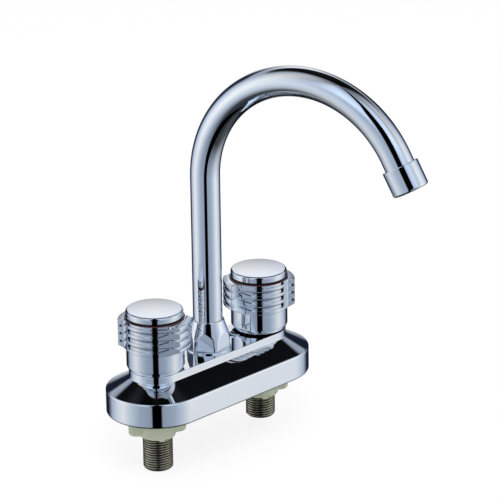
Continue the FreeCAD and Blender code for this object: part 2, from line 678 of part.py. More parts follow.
def spout_tail():
    """Brass tail in the pipe's foot: it stands on the socket's floor and seals in its bore."""
    body = cylinder(SPOUT_RADIUS, SOCKET_FLOOR, PIPE_BOTTOM)
    body = body.fuse(cylinder(TAIL_RADIUS, TAIL_BOTTOM, SOCKET_FLOOR + 0.5))
    plug = cylinder(SPOUT_BORE - RUN_FIT, PIPE_BOTTOM - 0.5, PIPE_BOTTOM + TAIL_PLUG_LENGTH)
    body = body.fuse(plug).removeSplitter()
    for height in TAIL_SEAL_HEIGHTS:
        half = SEAL_WIDTH / 2.0 + RUN_FIT
        groove_floor = TAIL_RADIUS - TAIL_SEAL_GROOVE
        body = body.cut(tube(TAIL_RADIUS + 1.0, groove_floor, height - half, height + half))
    bore = TAIL_RADIUS - TAIL_WALL
    return body.cut(cylinder(bore, TAIL_BOTTOM - 1.0, PIPE_BOTTOM + TAIL_PLUG_LENGTH + 1.0))


def spout_clip():
    """Open plastic clip in the pipe's groove, which the nut's shoulder holds down."""
    clip_top = CLIP_BOTTOM + CLIP_THICKNESS
    clip_bore = SPOUT_RADIUS - CLIP_GROOVE_DEPTH + RUN_FIT
    clip = tube(CLIP_RADIUS, clip_bore, CLIP_BOTTOM + RUN_FIT, clip_top - RUN_FIT)
    sector = [
        (0.0, CLIP_BOTTOM - 1.0),
        (CLIP_RADIUS + 1.0, CLIP_BOTTOM - 1.0),
        (CLIP_RADIUS + 1.0, clip_top + 1.0),
        (0.0, clip_top + 1.0),
    ]
    return swing(clip.cut(turned(sector, CLIP_OPENING, 180.0 - CLIP_OPENING / 2.0)))


def outlet_collar():
    """Chromed collar on the tip: a sleeve over the pipe and a lip that holds the straightener."""
    body = cylinder(COLLAR_RADIUS, 0.0, COLLAR_LENGTH)
    body = body.makeFillet(COLLAR_ROUNDING, edges_at(body, COLLAR_LENGTH))
    lip = COLLAR_LENGTH - COLLAR_LIP_THICKNESS
    body = body.cut(cylinder(SPOUT_RADIUS + RUN_FIT, -1.0, COLLAR_SLEEVE))
    body = body.cut(cylinder(INSERT_RADIUS + SLIP_FIT, COLLAR_SLEEVE - 0.5, lip))
    return at_tip(body.cut(cylinder(COLLAR_LIP_RADIUS, 0.0, COLLAR_LENGTH + 1.0)))


def tip_washer():
    """Rubber washer between the pipe's end and the flow straightener."""
    top = COLLAR_SLEEVE + TIP_WASHER_THICKNESS
    return at_tip(tube(INSERT_RADIUS, TIP_WASHER_HOLE, COLLAR_SLEEVE, top))


def ring_of_holes(shape, radius, circle, count, bottom, top):
    """Cut a circle of round holes."""
    holes = []
    for index in range(count):
        turn = 2.0 * math.pi * index / count
        centre = Vector(circle * math.cos(turn), circle * math.sin(turn), bottom)
        holes.append(Part.makeCylinder(radius, top - bottom, centre))
    return shape.cut(holes[0].fuse(holes[1:]) if count > 1 else holes[0])


def perforate(disc, hole_radius, circles, bottom, top):
    """Cut a disc with a middle hole and evenly spaced circles of holes round it."""
    disc = disc.cut(cylinder(hole_radius, bottom, top))
    for index in range(circles):
        circle = (index + 1) * 3.2 * hole_radius
        disc = ring_of_holes(disc, hole_radius, circle, 6 * (index + 1), bottom, top)
    return disc


def flow_insert():
    """Plastic flow straightener: a cup with a perforated plate at its inlet."""
    start = COLLAR_SLEEVE + TIP_WASHER_THICKNESS
    end = COLLAR_LENGTH - COLLAR_LIP_THICKNESS
    plate_top = start + INSERT_PLATE_THICKNESS
    body = cylinder(INSERT_RADIUS, start, end)
    body = body.cut(cylinder(INSERT_RADIUS - INSERT_WALL, plate_top, end + 1.0))
    return at_tip(perforate(body, PLATE_HOLE_RADIUS, 2, start - 1.0, plate_top + 1.0))


def outlet_screen():
    """Perforated steel disc across the straightener's mouth."""
    end = COLLAR_LENGTH - COLLAR_LIP_THICKNESS - SCREEN_INSET
    disc = cylinder(INSERT_RADIUS - INSERT_WALL - RUN_FIT, end - SCREEN_THICKNESS, end)
    return at_tip(perforate(disc, SCREEN_HOLE_RADIUS, 4, end - SCREEN_THICKNESS - 1.0, end + 1.0))


def on_valve(shape, x, turn=0.0, lift=0.0):
    """Put a valve piece on its axis, turned and lifted with its spindle."""
    placed = shape.copy()
    placed.rotate(ORIGIN, UP, turn)
    placed.translate(Vector(x, 0, lift))
    return placed


def valve_pieces(side, x, handle_angle, lift, mirrored):
    """All pieces of one valve and its handle, by node name."""
    stem_seals = seal_rings(STEM_RADIUS + RUN_FIT / 2.0, SEAL_HEIGHTS, SEAL_WIDTH)
    return {
        side + "_gland_washer": on_valve(gland_washer(), x),
        side + "_headwork": on_valve(headwork(), x),
        side + "_seat_washer": on_valve(seat_washer(), x, 0.0, lift),
        side + "_washer_screw": on_valve(washer_screw(), x, 0.0, lift),
        side + "_jumper": on_valve(jumper(), x, 0.0, lift),
        side + "_spindle": on_valve(spindle(), x, handle_angle, lift),
        side + "_spindle_seals": on_valve(stem_seals, x, handle_angle, lift),
        side + "_handle": on_valve(handle_body(mirrored), x, handle_angle, lift),
        side + "_handle_screw": on_valve(handle_screw(), x, handle_angle, lift),
        side + "_index_ring": on_valve(index_ring(), x, handle_angle, lift),
        side + "_cap": on_valve(cap(), x, handle_angle, lift),
    }


def pieces():
    """Every piece of the tap, by node name."""
    nodes = {
        "base_cover": base_cover(),
        "base_plate": base_plate(),
        "waterway": waterway(),
        "left_shank": inlet_shank(-HALF_SPACING, LEFT_SHANK_BOTTOM),
        "right_shank": inlet_shank(HALF_SPACING, RIGHT_SHANK_BOTTOM),
        "left_mounting_nut": mounting_nut(-HALF_SPACING),
        "right_mounting_nut": mounting_nut(HALF_SPACING),
        "spout_socket": spout_socket(),
        "spout_boss_ring": boss_ring(),
        "spout_nut": spout_nut(),
        "spout_pipe": spout_pipe(),
        "spout_tail": spout_tail(),
        "spout_seals": seal_rings(SOCKET_BORE_RADIUS - RUN_FIT, TAIL_SEAL_HEIGHTS, SEAL_WIDTH),
        "spout_clip": spout_clip(),
        "outlet_collar": outlet_collar(),
        "tip_washer": tip_washer(),
        "flow_insert": flow_insert(),
        "outlet_screen": outlet_screen(),
    }
    nodes.update(valve_pieces("left", -HALF_SPACING, LEFT_HANDLE_ANGLE, 0.0, True))
    nodes.update(valve_pieces("right", HALF_SPACING, RIGHT_HANDLE_ANGLE, RIGHT_VALVE_LIFT, False))
    return nodes


os.makedirs("parts", exist_ok=True)
for name, shape in pieces().items():
    shape.exportStep(os.path.join("parts", name + ".step"))
    print(name, len(shape.Solids), shape.isValid(), round(shape.Volume, 1))
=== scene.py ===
"""Looks of the basin tap, laid out as an add-on with one operator for each group of pieces.

Mesh code works in millimetres on whole arrays, and the mesh maker turns them into metres.
Surfaces are grids: rows run along a profile or a path, columns run round the piece.
"""

import json
import math

import bmesh
import bpy
import numpy as np
from bpy.props import FloatProperty, FloatVectorProperty, IntProperty, PointerProperty
from mathutils import Matrix, Vector


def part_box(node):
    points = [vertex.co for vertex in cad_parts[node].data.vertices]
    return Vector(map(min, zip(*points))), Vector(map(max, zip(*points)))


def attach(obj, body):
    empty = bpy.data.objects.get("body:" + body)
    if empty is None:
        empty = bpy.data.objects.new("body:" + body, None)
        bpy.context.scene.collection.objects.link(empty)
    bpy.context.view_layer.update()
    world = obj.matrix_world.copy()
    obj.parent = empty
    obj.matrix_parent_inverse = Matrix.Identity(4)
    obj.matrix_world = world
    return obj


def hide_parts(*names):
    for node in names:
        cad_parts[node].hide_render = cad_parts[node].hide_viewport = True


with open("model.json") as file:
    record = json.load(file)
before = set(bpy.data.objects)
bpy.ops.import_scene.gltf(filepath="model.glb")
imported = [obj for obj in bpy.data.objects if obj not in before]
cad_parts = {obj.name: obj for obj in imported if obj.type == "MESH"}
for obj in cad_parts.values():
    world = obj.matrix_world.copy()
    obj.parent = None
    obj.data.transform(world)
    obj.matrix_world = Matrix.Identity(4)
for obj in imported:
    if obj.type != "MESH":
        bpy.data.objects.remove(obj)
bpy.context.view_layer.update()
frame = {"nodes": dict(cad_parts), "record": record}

bl_info = {
    "name": "Basin Tap",
    "version": (1, 0, 0),
    "blender": (4, 5, 0),
    "location": "View3D > Sidebar > Basin Tap",
    "description": "Builds the visible surfaces and finishes of a two-handle basin tap",
    "category": "Object",
}

MILLIMETRE = 0.001
MERGE_DISTANCE = 2e-7
CRISP_ANGLE = 32.0
WHITE = (1.0, 1.0, 1.0, 1.0)
COVER_LOW, COVER_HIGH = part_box("base_cover")
HANDLE_LOW, HANDLE_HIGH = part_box("left_handle")
RIGHT_HANDLE_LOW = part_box("right_handle")[0]
RING_LOW, RING_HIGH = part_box("left_index_ring")
CAP_LOW, CAP_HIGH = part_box("left_cap")
PIPE_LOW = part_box("spout_pipe")[0]
SPOUT_NUT_LOW, SPOUT_NUT_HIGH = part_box("spout_nut")
BOSS_LOW, BOSS_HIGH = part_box("spout_boss_ring")
SHANK_LOW, SHANK_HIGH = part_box("left_shank")
RIGHT_SHANK_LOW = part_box("right_shank")[0]
WING_NUT_LOW, WING_NUT_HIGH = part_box("left_mounting_nut")
RIGHT_LIFT = (RIGHT_HANDLE_LOW.z - HANDLE_LOW.z) / MILLIMETRE


def length(description, default):
    """Length setting, in metres."""
    return FloatProperty, {
        "description": description, "default": default, "unit": "LENGTH", "precision": 5,
    }


def turn(description, degrees):
    """Angle setting, given in degrees and kept in radians."""
    return FloatProperty, {
        "description": description, "default": math.radians(degrees), "unit": "ROTATION",
    }


def share(description, default):
    """Plain number setting."""
    return FloatProperty, {"description": description, "default": default, "min": 0.0}


def colour(description, *default):
    """Colour setting, linear red, green and blue."""
    return FloatVectorProperty, {
        "description": description, "default": default, "subtype": "COLOR", "size": 3,
        "min": 0.0, "max": 1.0,
    }


def titled(group):
    """Makes a group's (maker, options) annotations properties, each titled after its name."""
    for name, (maker, options) in group.__annotations__.items():
        group.__annotations__[name] = maker(name=name.replace("_", " ").title(), **options)
    return group


@titled
class BasinTapBaseSettings(bpy.types.PropertyGroup):
    """Sizes of the base cover, the shanks and their nuts."""

    base_width: length("Width of the base across its ends", COVER_HIGH.y - COVER_LOW.y)
    base_length: length("Length of the base over both ends", COVER_HIGH.x - COVER_LOW.x)
    rim_height: length("Height of the upright rim", 0.0174)
    rim_rounding: length("Rounding where the rim meets the slope", 0.0015)
    foot_rounding: length("Rounding of the rim's lower edge", 0.0016)
    tier_foot: length("Height where the slope meets the raised tier", 0.0262)
    tier_width: length("Width of the raised tier", 0.0374)
    tier_top: length("Height of the raised tier", COVER_HIGH.z)
    tier_rounding: length("Rounding of the tier's upper edge", 0.0005)
    cover_wall: length("Wall thickness of the cover", 0.0024)
    shank_radius: length("Crest radius of the inlet thread", 0.01045)
    shank_bore: length("Bore radius of the inlet shanks", 0.0075)
    shank_throat: length("Radius of the throat above the bore", 0.0066)
    shank_bore_top: length("Height where the bore narrows to the throat", -0.002)
    thread_pitch: length("Pitch of the inlet thread", 0.001814)
    thread_depth: length("Depth of the inlet thread", 0.0007)
    nut_radius: length("Radius of the mounting nut's sleeve", 0.0126)
    wing_reach: length("Radius at the tip of a nut's wing", 0.0204)
    wing_width: length("Width of a nut's wing", 0.0076)
    wing_angle: turn("Direction of the first wing, from +X", 150.0)
    foot_angle: turn("Direction of the first foot of a nut, from +X", -118.0)


@titled
class BasinTapHandleSettings(bpy.types.PropertyGroup):
    """Sizes of the handles and their caps."""

    skirt_radius: length("Radius of the smooth skirt", 0.0201)
    skirt_wall: length("Wall thickness of the skirt", 0.0028)
    band_bottom: length("Height where the ribbed band starts", 0.047)
    band_radius: length("Crest radius of the band between the ears", 0.0207)
    ear_radius: length("Crest radius of the ears", 0.0254)
    ear_arc: turn("Angle that an ear's round part spans", 51.4)
    pad_arc: turn("Angle that the smooth pad before an ear's step spans", 20.0)
    wall_arc: turn("Angle that the leaning wall of an ear's step spans", 4.0)
    notch_arc: turn("Angle between the ribs' ends and the pad", 4.6)
    ribs: (IntProperty, {"description": "Ribs of the band", "default": 4, "min": 1, "max": 8})
    rib_pitch: length("Height from one rib to the next", 0.0056)
    rib_height: length("Height of a rib of the band", 0.0028)
    rib_depth: length("Depth of the wide grooves between the ribs", 0.0013)
    rib_hollow: share("Hollow at a groove's foot, over the groove's depth", 0.25)
    rib_lip: share("Rounding of a rib's lower edge, over the groove's depth", 0.75)
    ear_groove_depth: length("Depth of the narrow grooves across the ears", 0.002)
    top_fall: share("Fall of the band's top per length outwards", 0.22)
    left_turn: turn("Direction of the step of the left handle's ear", 140.0)
    right_turn: turn("Direction of the step of the right handle's ear", -57.0)
    deck_height: length("Height of the deck under the cap", 0.064)
    deck_wall: length("Thickness of the deck", 0.0045)
    recess_radius: length("Radius of the recess for the cap", 0.0182)
    cap_rounding: length("Rounding of the cap's upper edge", 0.0016)
    cap_dome: length("Rise of the cap's top", 0.0008)
    cap_wall: length("Wall thickness of the cap", 0.0016)
    hub_radius: length("Outer radius of the hub", 0.008)
    hub_bore: length("Radius of the hub's bore, over the splines", 0.0041)
    hub_bottom: length("Height of the hub's lower end", 0.0505)
    screw_hole: length("Radius of the screw's hole in the deck", 0.0022)


@titled
class BasinTapSpoutSettings(bpy.types.PropertyGroup):
    """Sizes of the spout, its nut and its outlet collar."""

    pipe_radius: length("Outer radius of the spout's pipe", 0.01035)
    pipe_wall: length("Wall thickness of the pipe", 0.0012)
    bend_start: length("Height where the bend starts", 0.1574)
    bend_radius: length("Radius of the bend's middle line", 0.0792)
    bend_angle: turn("Angle that the bend turns through", 151.0)
    swivel: turn("Direction of the spout, from +X", -76.8)
    tip_straight: length("Straight length before the collar", 0.0065)
    collar_radius: length("Outer radius of the outlet collar", 0.0126)
    collar_length: length("Length of the outlet collar", 0.018)
    collar_sleeve: length("How far the pipe reaches into the collar", 0.006)
    collar_rounding: length("Rounding of the collar's outlet edge", 0.0016)
    collar_bore: length("Radius of the collar's bore round the insert", 0.0107)
    collar_mouth: length("Radius of the collar's open end", 0.0096)
    nut_waist: length("Height where the nut starts to narrow", 0.042)
    nut_bottom_radius: length("Radius of the nut's foot", 0.0154)
    nut_waist_radius: length("Radius of the nut at its waist", 0.0149)
    nut_top_radius: length("Radius of the nut's upper edge", 0.0111)
    nut_flats: length("Distance across the nut's flats", 0.0276)
    nut_flat_turn: turn("Direction that one flat faces", 37.0)
    nut_rounding: length("Rounding of the nut's ends", 0.0007)
    nut_bore: length("Radius of the nut's bore round the socket", 0.0125)
    nut_bore_top: length("Height where that bore ends", 0.044)
    boss_bore: length("Radius of the boss ring's bore", 0.01265)


@titled
class BasinTapFinishSettings(bpy.types.PropertyGroup):
    """Colours and gloss of the tap's finishes."""

    chrome: colour("Colour of the plating", 0.80, 0.835, 0.885)
    cast_chrome: colour("Colour of the plating on the handles", 0.75, 0.785, 0.83)
    chrome_roughness: share("Roughness of the plating", 0.028)
    # The roots' near-black colour is painted shade in the thread's roots.
    bronze: colour("Colour in the thread's roots", 0.050, 0.044, 0.028)
    bronze_crest: colour("Colour on the thread's crests", 0.78, 0.715, 0.52)
    brass: colour("Colour of the machined brass", 0.66, 0.47, 0.19)
    nut_plastic: colour("Colour of the mounting nuts", 0.74, 0.82, 0.62)
    ring_plastic: colour("Colour of the index rings", 0.085, 0.023, 0.028)
    dark_plastic: colour("Colour of the base plate", 0.030, 0.031, 0.034)
    pale_plastic: colour("Colour of the flow straightener", 0.62, 0.64, 0.66)
    rubber: colour("Colour of the seals", 0.018, 0.018, 0.019)
    fibre: colour("Colour of the gland washers", 0.20, 0.045, 0.030)
    steel: colour("Colour of the screws and the screen", 0.55, 0.56, 0.58)


@titled
class BasinTapStageSettings(bpy.types.PropertyGroup):
    """Camera, floor and lights."""

    camera_azimuth: turn("Direction that the camera looks, 0 along +Y", -45.064)
    camera_elevation: turn("Angle of the camera above the horizon", 20.459)
    camera_roll: turn("Roll of the camera", -0.820)
    camera_distance: length("Distance of the camera along its view", 2.09928)
    camera_right: length("Shift of the camera to its right", 0.02865)
    camera_up: length("Shift of the camera upwards", 0.0970)
    camera_lens: share("Focal length, in millimetres", 215.153)
    camera_sensor: share("Width of the sensor, in millimetres", 36.0)
    floor_height: length("Height of the floor", SHANK_LOW.z - 0.00005)
    floor_reach: length("Half the width of the floor", 12.0)
    floor_glow: share("Brightness of the floor's own light", 1.16)
    floor_glow_share: share("Share of that light in what the camera sees", 0.72)
    lamp_power: share("Power of the soft lamp, in watts", 14.0)
    lamp_size: length("Width of the soft lamp", 1.3)
    gap_turn: turn("How far right of the camera the dark gap stands", 2.0)
    sky_light: share("Strength of the even light on matt surfaces", 0.62)
    studio_light: share("Strength of the mirrored studio", 1.12)
    backdrop_light: share("Strength of the backdrop opposite the camera", 1.3)
    panel_lift: share("How much the raised panels beside the camera gain", 1.9)
    canopy_shade: share("How much the dark canopy at the back takes away", 0.985)


class BasinTapSettings(bpy.types.PropertyGroup):
    """All settings of the tap."""

    base: PointerProperty(type=BasinTapBaseSettings)
    handle: PointerProperty(type=BasinTapHandleSettings)
    spout: PointerProperty(type=BasinTapSpoutSettings)
    finish: PointerProperty(type=BasinTapFinishSettings)
    stage: PointerProperty(type=BasinTapStageSettings)


def to_mm(*lengths):
    """Lengths in metres as millimetres."""
    return [value / MILLIMETRE for value in lengths]


def outer_radius(low, high):
    """Radius of a round piece, from its box's corners."""
    return (high.x - low.x) / 2.0 / MILLIMETRE


def half_spacing(base):
    """Half the distance between the handles: the base's ends are round about the handle axes."""
    return (base.base_length - base.base_width) / 2.0 / MILLIMETRE


def smooth_step(value):
    """0 below 0, 1 above 1, and 3 v^2 - 2 v^3 between."""
    value = np.clip(value, 0.0, 1.0)
    return value * value * (3.0 - 2.0 * value)


def soft_smaller(first, second, blend):
    """Smaller of two lengths, rounded where they are within blend of each other."""
    near = np.clip(0.5 + 0.5 * (second - first) / blend, 0.0, 1.0)
    return second * (1.0 - near) + first * near - blend * near * (1.0 - near)


def quarter_round(radius, steps):
    """Quarter circle as pairs of radius (1 - sin t) and radius (1 - cos t), t from 0 to 90 degrees."""
    swing = np.linspace(0.0, 0.5 * np.pi, steps)
    return list(zip(radius * (1.0 - np.sin(swing)), radius * (1.0 - np.cos(swing))))


def rounded_profile(corners, steps=6, hold=0.25):
    """Profile through (radius, height, rounding) corners.

    Each rounded corner is a circle's arc that meets both sides at a tangent. A point is held a
    short way off each arc, so that the shading of the flat sides stays flat.
    """
    corners = np.asarray(corners, float)
    points = []
    for index, (radius, height, rounding) in enumerate(corners):
        here = np.array([radius, height])
        if rounding <= 0.0:
            points.append(here[None])
            continue
        before = corners[index - 1, :2] - here
        after = corners[(index + 1) % len(corners), :2] - here
        before_length, after_length = np.linalg.norm(before), np.linalg.norm(after)
        before, after = before / before_length, after / after_length
        half = 0.5 * math.acos(np.clip(before @ after, -1.0, 1.0))
        run = rounding / math.tan(half)
        bisector = (before + after) / np.linalg.norm(before + after)
        centre = here + bisector * rounding / math.sin(half)
        start, end = here + before * run - centre, here + after * run - centre
        sweep = math.acos(np.clip(start @ end / rounding ** 2, -1.0, 1.0))
        part = np.linspace(0.0, 1.0, steps + 1)[:, None]
        from_start, to_end = np.sin((1 - part) * sweep), np.sin(part * sweep)
        arc = centre + (from_start * start + to_end * end) / math.sin(sweep)
        if before_length > run + 2 * hold:
            arc = np.vstack([here + before * (run + hold), arc])
        if after_length > run + 2 * hold:
            arc = np.vstack([arc, here + after * (run + hold)])
        points.append(arc)
    return np.vstack(points)


def full_turn(columns):
    """Angles of the columns of one full turn."""
    return np.linspace(0.0, 2.0 * np.pi, columns, endpoint=False)


def polar(angle, reach, level):
    """Points about the Z axis: x = reach cos(angle), y = reach sin(angle), z = level."""
    return np.stack(np.broadcast_arrays(reach * np.cos(angle), reach * np.sin(angle), level), axis=-1)


def turned_grid(profile, columns=160):
    """Profile turned about the Z axis."""
    return polar(full_turn(columns), profile[:, :1], profile[:, 1:])


def oval_grid(profile, spacing, columns=96):
    """Profile carried round an oval: half turns at x = +-spacing, joined by straight runs."""
    right = np.linspace(-0.5 * np.pi, 0.5 * np.pi, columns + 1)
    grid = polar(np.concatenate([right, right + np.pi]), profile[:, :1], profile[:, 1:])
    grid[:, :columns + 1, 0] += spacing
    grid[:, columns + 1:, 0] -= spacing
    return grid


def shifted(grid, x=0.0, y=0.0, z=0.0):
    """Grid moved by a vector, in millimetres."""
    return grid + np.array([x, y, z])


def rotated(grid, angle):
    """Grid turned about the Z axis."""
    cos, sin = math.cos(angle), math.sin(angle)
    return grid @ np.array([[cos, sin, 0.0], [-sin, cos, 0.0], [0.0, 0.0, 1.0]])


def grid_faces(rows, columns, closed):
    """Quads of a grid that closes on itself across its columns, and along its rows if closed."""
    row = np.arange(rows if closed else rows - 1)[:, None]
    column = np.arange(columns)[None, :]
    next_row, next_column = (row + 1) % rows, (column + 1) % columns
    quads = [row * columns + column, row * columns + next_column]
    quads += [next_row * columns + next_column, next_row * columns + column]
    return np.stack(quads, axis=-1).reshape(-1, 4)


def signed_volume(points, quads):
    """Volume inside the quads, positive where they point outwards."""
    a, b, c, d = (points[quads[:, corner]] for corner in range(4))
    return np.einsum("ij,ij->", a, np.cross(b, c) + np.cross(c, d)) / 6.0


def grid_mesh(name, grid, closed=True, values=None):
    """Mesh of a grid whose faces point outwards.

    Points that lie together become one, which closes poles and seams. values is kept on the
    points as the attribute "crest", which the thread and the ring use as a mask for painted shade.
    """
    points = grid.reshape(-1, 3) * MILLIMETRE
    quads = grid_faces(*grid.shape[:2], closed)
    if signed_volume(points, quads) < 0.0:
        quads = quads[:, ::-1]
    mesh = bpy.data.meshes.new(name)
    mesh.from_pydata(points, [], quads)
    if values is not None:
        crest = mesh.attributes.new("crest", "FLOAT", "POINT")
        crest.data.foreach_set("value", np.ascontiguousarray(values, dtype=np.float32).ravel())
    shell = bmesh.new()
    shell.from_mesh(mesh)
    bmesh.ops.remove_doubles(shell, verts=shell.verts, dist=MERGE_DISTANCE)
    shell.to_mesh(mesh)
    shell.free()
    return mesh


def shade(mesh, sharp):
    """Smooth shading, with edges steeper than sharp degrees kept crisp."""
    mesh.shade_smooth()
    mesh.set_sharp_from_angle(angle=math.radians(sharp))


def add_object(name, data):
    """Object that shows data, put into the scene."""
    made = bpy.data.objects.new(name, data)
    bpy.context.scene.collection.objects.link(made)
    return made


def make_piece(name, grid, material, body, nodes, sharp=CRISP_ANGLE, values=None):
    """Grid made a smooth closed mesh that rides on a body and stands for CAD nodes."""
    mesh = grid_mesh(name, grid, values=values)
    shade(mesh, sharp)
    mesh.materials.append(material)
    piece = add_object(name, mesh)
    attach(piece, body)
    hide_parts(*nodes)
    return piece


def cut_holes(piece, holes, bottom, top):
    """Cuts upright round holes, given as (x, radius) in millimetres, through a piece."""
    for x, radius in holes:
        profile = np.array([[0.0, bottom], [radius, bottom], [radius, top], [0.0, top]])
        mesh = grid_mesh("hole_tool", shifted(turned_grid(profile, 64), x), closed=False)
        tool = add_object("hole_tool", mesh)
        cut = piece.modifiers.new("hole", "BOOLEAN")
        cut.operation, cut.solver, cut.object = "DIFFERENCE", "EXACT", tool
        bpy.context.view_layer.update()
        graph = bpy.context.evaluated_depsgraph_get()
        result = bpy.data.meshes.new_from_object(piece.evaluated_get(graph))
        piece.modifiers.clear()
        piece.data = result
        bpy.data.objects.remove(tool)
    shade(piece.data, CRISP_ANGLE)


class NodeTree:
    """Small helper that adds and links nodes of a material or a world."""

    def __init__(self, tree):
        self.tree = tree
        self.tree.nodes.clear()

    def add(self, kind, inputs=None, **settings):
        """Node of a kind, with settings, and inputs given as values or other nodes' outputs."""
        node = self.tree.nodes.new(kind)
        for key, value in settings.items():
            setattr(node, key, value)
        for key, value in (inputs or {}).items():
            if isinstance(value, bpy.types.NodeSocket):
                self.tree.links.new(value, node.inputs[key])
            else:
                node.inputs[key].default_value = value
        return node

    def math(self, operation, first, second=0.0, third=0.0, clamp=False):
        """Result of one Math node."""
        inputs = {0: first, 1: second, 2: third}
        return self.add("ShaderNodeMath", inputs, operation=operation, use_clamp=clamp).outputs[0]

    def product(self, first, *others):
        """First number times all the others."""
        for other in others:
            first = self.math("MULTIPLY", first, other)
        return first

    def ramp(self, value, stops):
        """Colour ramp over value. Stops are (place, colour or grey level), from 0 to 1."""
        node = self.add("ShaderNodeValToRGB", {"Fac": value})
        elements = node.color_ramp.elements
        for place, tint in stops:
            if 0.0 < place < 1.0:
                element = elements.new(place)
            else:
                element = elements[0 if place == 0.0 else -1]
            element.color = (tint, tint, tint, 1.0) if isinstance(tint, float) else (*tint, 1.0)
        return node.outputs["Color"]

    def noise(self, scale, detail, roughness):
        """Noise over Object coordinates."""
        place = self.add("ShaderNodeTexCoord").outputs["Object"]
        inputs = {"Vector": place, "Scale": scale, "Detail": detail, "Roughness": roughness}
        return self.add("ShaderNodeTexNoise", inputs).outputs["Fac"]

    def step(self, value, low, high, start=0.0, end=1.0, kind="SMOOTHSTEP"):
        """Smooth step from start to end while the value goes from low to high."""
        inputs = {"Value": value, "From Min": low, "From Max": high, "To Min": start, "To Max": end}
        return self.add("ShaderNodeMapRange", inputs, interpolation_type=kind).outputs["Result"]

    def spread(self, value, first, last):
        """Value from 0 to 1 spread evenly over first to last."""
        return self.step(value, 0.0, 1.0, first, last, "LINEAR")

    def mixed(self, value, first, second, blend_type="MIX"):
        """Colour mixed from two colours."""
        node = self.add("ShaderNodeMix", data_type="RGBA", blend_type=blend_type)
        for index, given in ((0, value), (6, first), (7, second)):
            socket = node.inputs[index]
            if isinstance(given, bpy.types.NodeSocket):
                self.tree.links.new(given, socket)
            else:
                socket.default_value = given if isinstance(given, float) else (*given, 1.0)
        return node.outputs[2]

    def bump(self, height, strength, distance):
        """Bump from a height."""
        inputs = {"Height": height, "Strength": strength, "Distance": distance}
        return self.add("ShaderNodeBump", inputs).outputs["Normal"]

    def principled(self, **inputs):
        """Principled shader, whose inputs are named with underscores for spaces."""
        named = {key.replace("_", " "): value for key, value in inputs.items()}
        return self.add("ShaderNodeBsdfPrincipled", named).outputs[0]

    def either(self, amount, first, second):
        """Shader mixed from two shaders."""
        return self.add("ShaderNodeMixShader", {"Fac": amount, 1: first, 2: second}).outputs[0]


def new_material(name, build):
    """Material whose nodes are laid by build(tree), which returns its shader."""
    material = bpy.data.materials.get(name)
    if not material:
        material = bpy.data.materials.new(name)
        material.use_nodes = True
        tree = NodeTree(material.node_tree)
        tree.add("ShaderNodeOutputMaterial", {"Surface": build(tree)})
    return material


def darker(tint, factor):
    """Colour scaled by a factor."""
    return tuple(channel * factor for channel in tint)


def noise_material(name, tint, dim, gloss, cloud, relief=None, **fixed):
    """Material whose tint and gloss drift with one noise, over the relief of another.

    The tint runs from dim times itself to itself, and the roughness over the two ends of gloss.
    cloud is the noise's scale, detail and roughness, and relief a noise, its strength and depth.
    """
    def build(tree):
        drift = tree.noise(*cloud)
        if relief:
            fixed["Normal"] = tree.bump(tree.noise(*relief[0]), *relief[1:])
        return tree.principled(Base_Color=tree.mixed(drift, darker(tint, dim), tuple(tint)),
                               Roughness=tree.spread(drift, *gloss), **fixed)
    return new_material(name, build)


def chrome_plating(finish):
    """Bright plating: a faint cloudiness in its gloss and a slight waviness of the casting below."""
    rough = finish.chrome_roughness
    return noise_material("chrome plating", finish.chrome, 0.965, (rough * 0.6, rough * 1.5),
                          (95.0, 4.0, 0.6), ((38.0, 1.0, 0.4), 0.05, 0.0004), Metallic=1.0)


def cast_chrome(finish):
    """Plating on the die-cast handles: a shade deeper, over a skin with faint ripples."""
    rough = finish.chrome_roughness
    return noise_material("cast chrome", finish.cast_chrome, 0.96, (rough * 0.8, rough * 1.7),
                          (120.0, 4.0, 0.6), ((60.0, 2.0, 0.45), 0.05, 0.0003), Metallic=1.0)


def drawn_chrome(finish):
    """Plating on the drawn pipe, smoother than on the castings."""
    rough = finish.chrome_roughness
    return noise_material("drawn chrome", finish.chrome, 0.97, (rough * 0.5, rough * 1.2),
                          (70.0, 4.0, 0.55), Metallic=1.0)


def plain_steel(finish):
    """Plain steel with fine scratches."""
    scratches = (1500.0, 3.0, 0.6)
    return noise_material("plain steel", finish.steel, 0.75, (0.40, 0.24), scratches,
                          (scratches, 0.08, 0.00005), Metallic=1.0)


def moulded_plastic(name, tint, gloss, mottle=0.86, grain=900.0):
    """Moulded plastic: faint mottling and a fine moulded grain."""
    return noise_material(name, tint, mottle, (gloss + 0.08, gloss - 0.04), (110.0, 3.0, 0.5),
                          ((grain, 2.0, 0.5), 0.10, 0.0001), IOR=1.49)


def nut_nylon(finish):
    """Pale green nylon of the mounting nuts, which lets a little light in."""
    return noise_material("nut nylon", finish.nut_plastic, 0.84, (0.46, 0.34), (90.0, 3.0, 0.5),
                          ((700.0, 3.0, 0.55), 0.12, 0.0001), IOR=1.53, Subsurface_Weight=0.25,
                          Subsurface_Radius=(0.9, 1.0, 0.5), Subsurface_Scale=0.002)


def thread_bronze(finish):
    """Dull bronze thread: painted shade in the roots, lighter crests, and dirt in patches."""
    def build(tree):
        crest = tree.add("ShaderNodeAttribute", attribute_name="crest").outputs["Fac"]
        dirt = tree.noise(420.0, 5.0, 0.65)
        # Painted shade: the colour falls from the crest colour to the near-black root colour into the roots,
        # and dirt noise spreads where it falls.
        painted_shade_and_dirt_mix = tree.math("MULTIPLY", crest, tree.spread(dirt, 0.25, 1.25), clamp=True)
        tint = tree.ramp(painted_shade_and_dirt_mix, [
            (0.0, finish.bronze), (0.45, darker(finish.bronze_crest, 0.25)),
            (0.8, darker(finish.bronze_crest, 0.8)), (1.0, finish.bronze_crest),
        ])
        return tree.principled(Base_Color=tint, Metallic=0.95,
                               Roughness=tree.spread(dirt, 0.34, 0.18),
                               Normal=tree.bump(dirt, 0.22, 0.0002))
    return new_material("thread bronze", build)


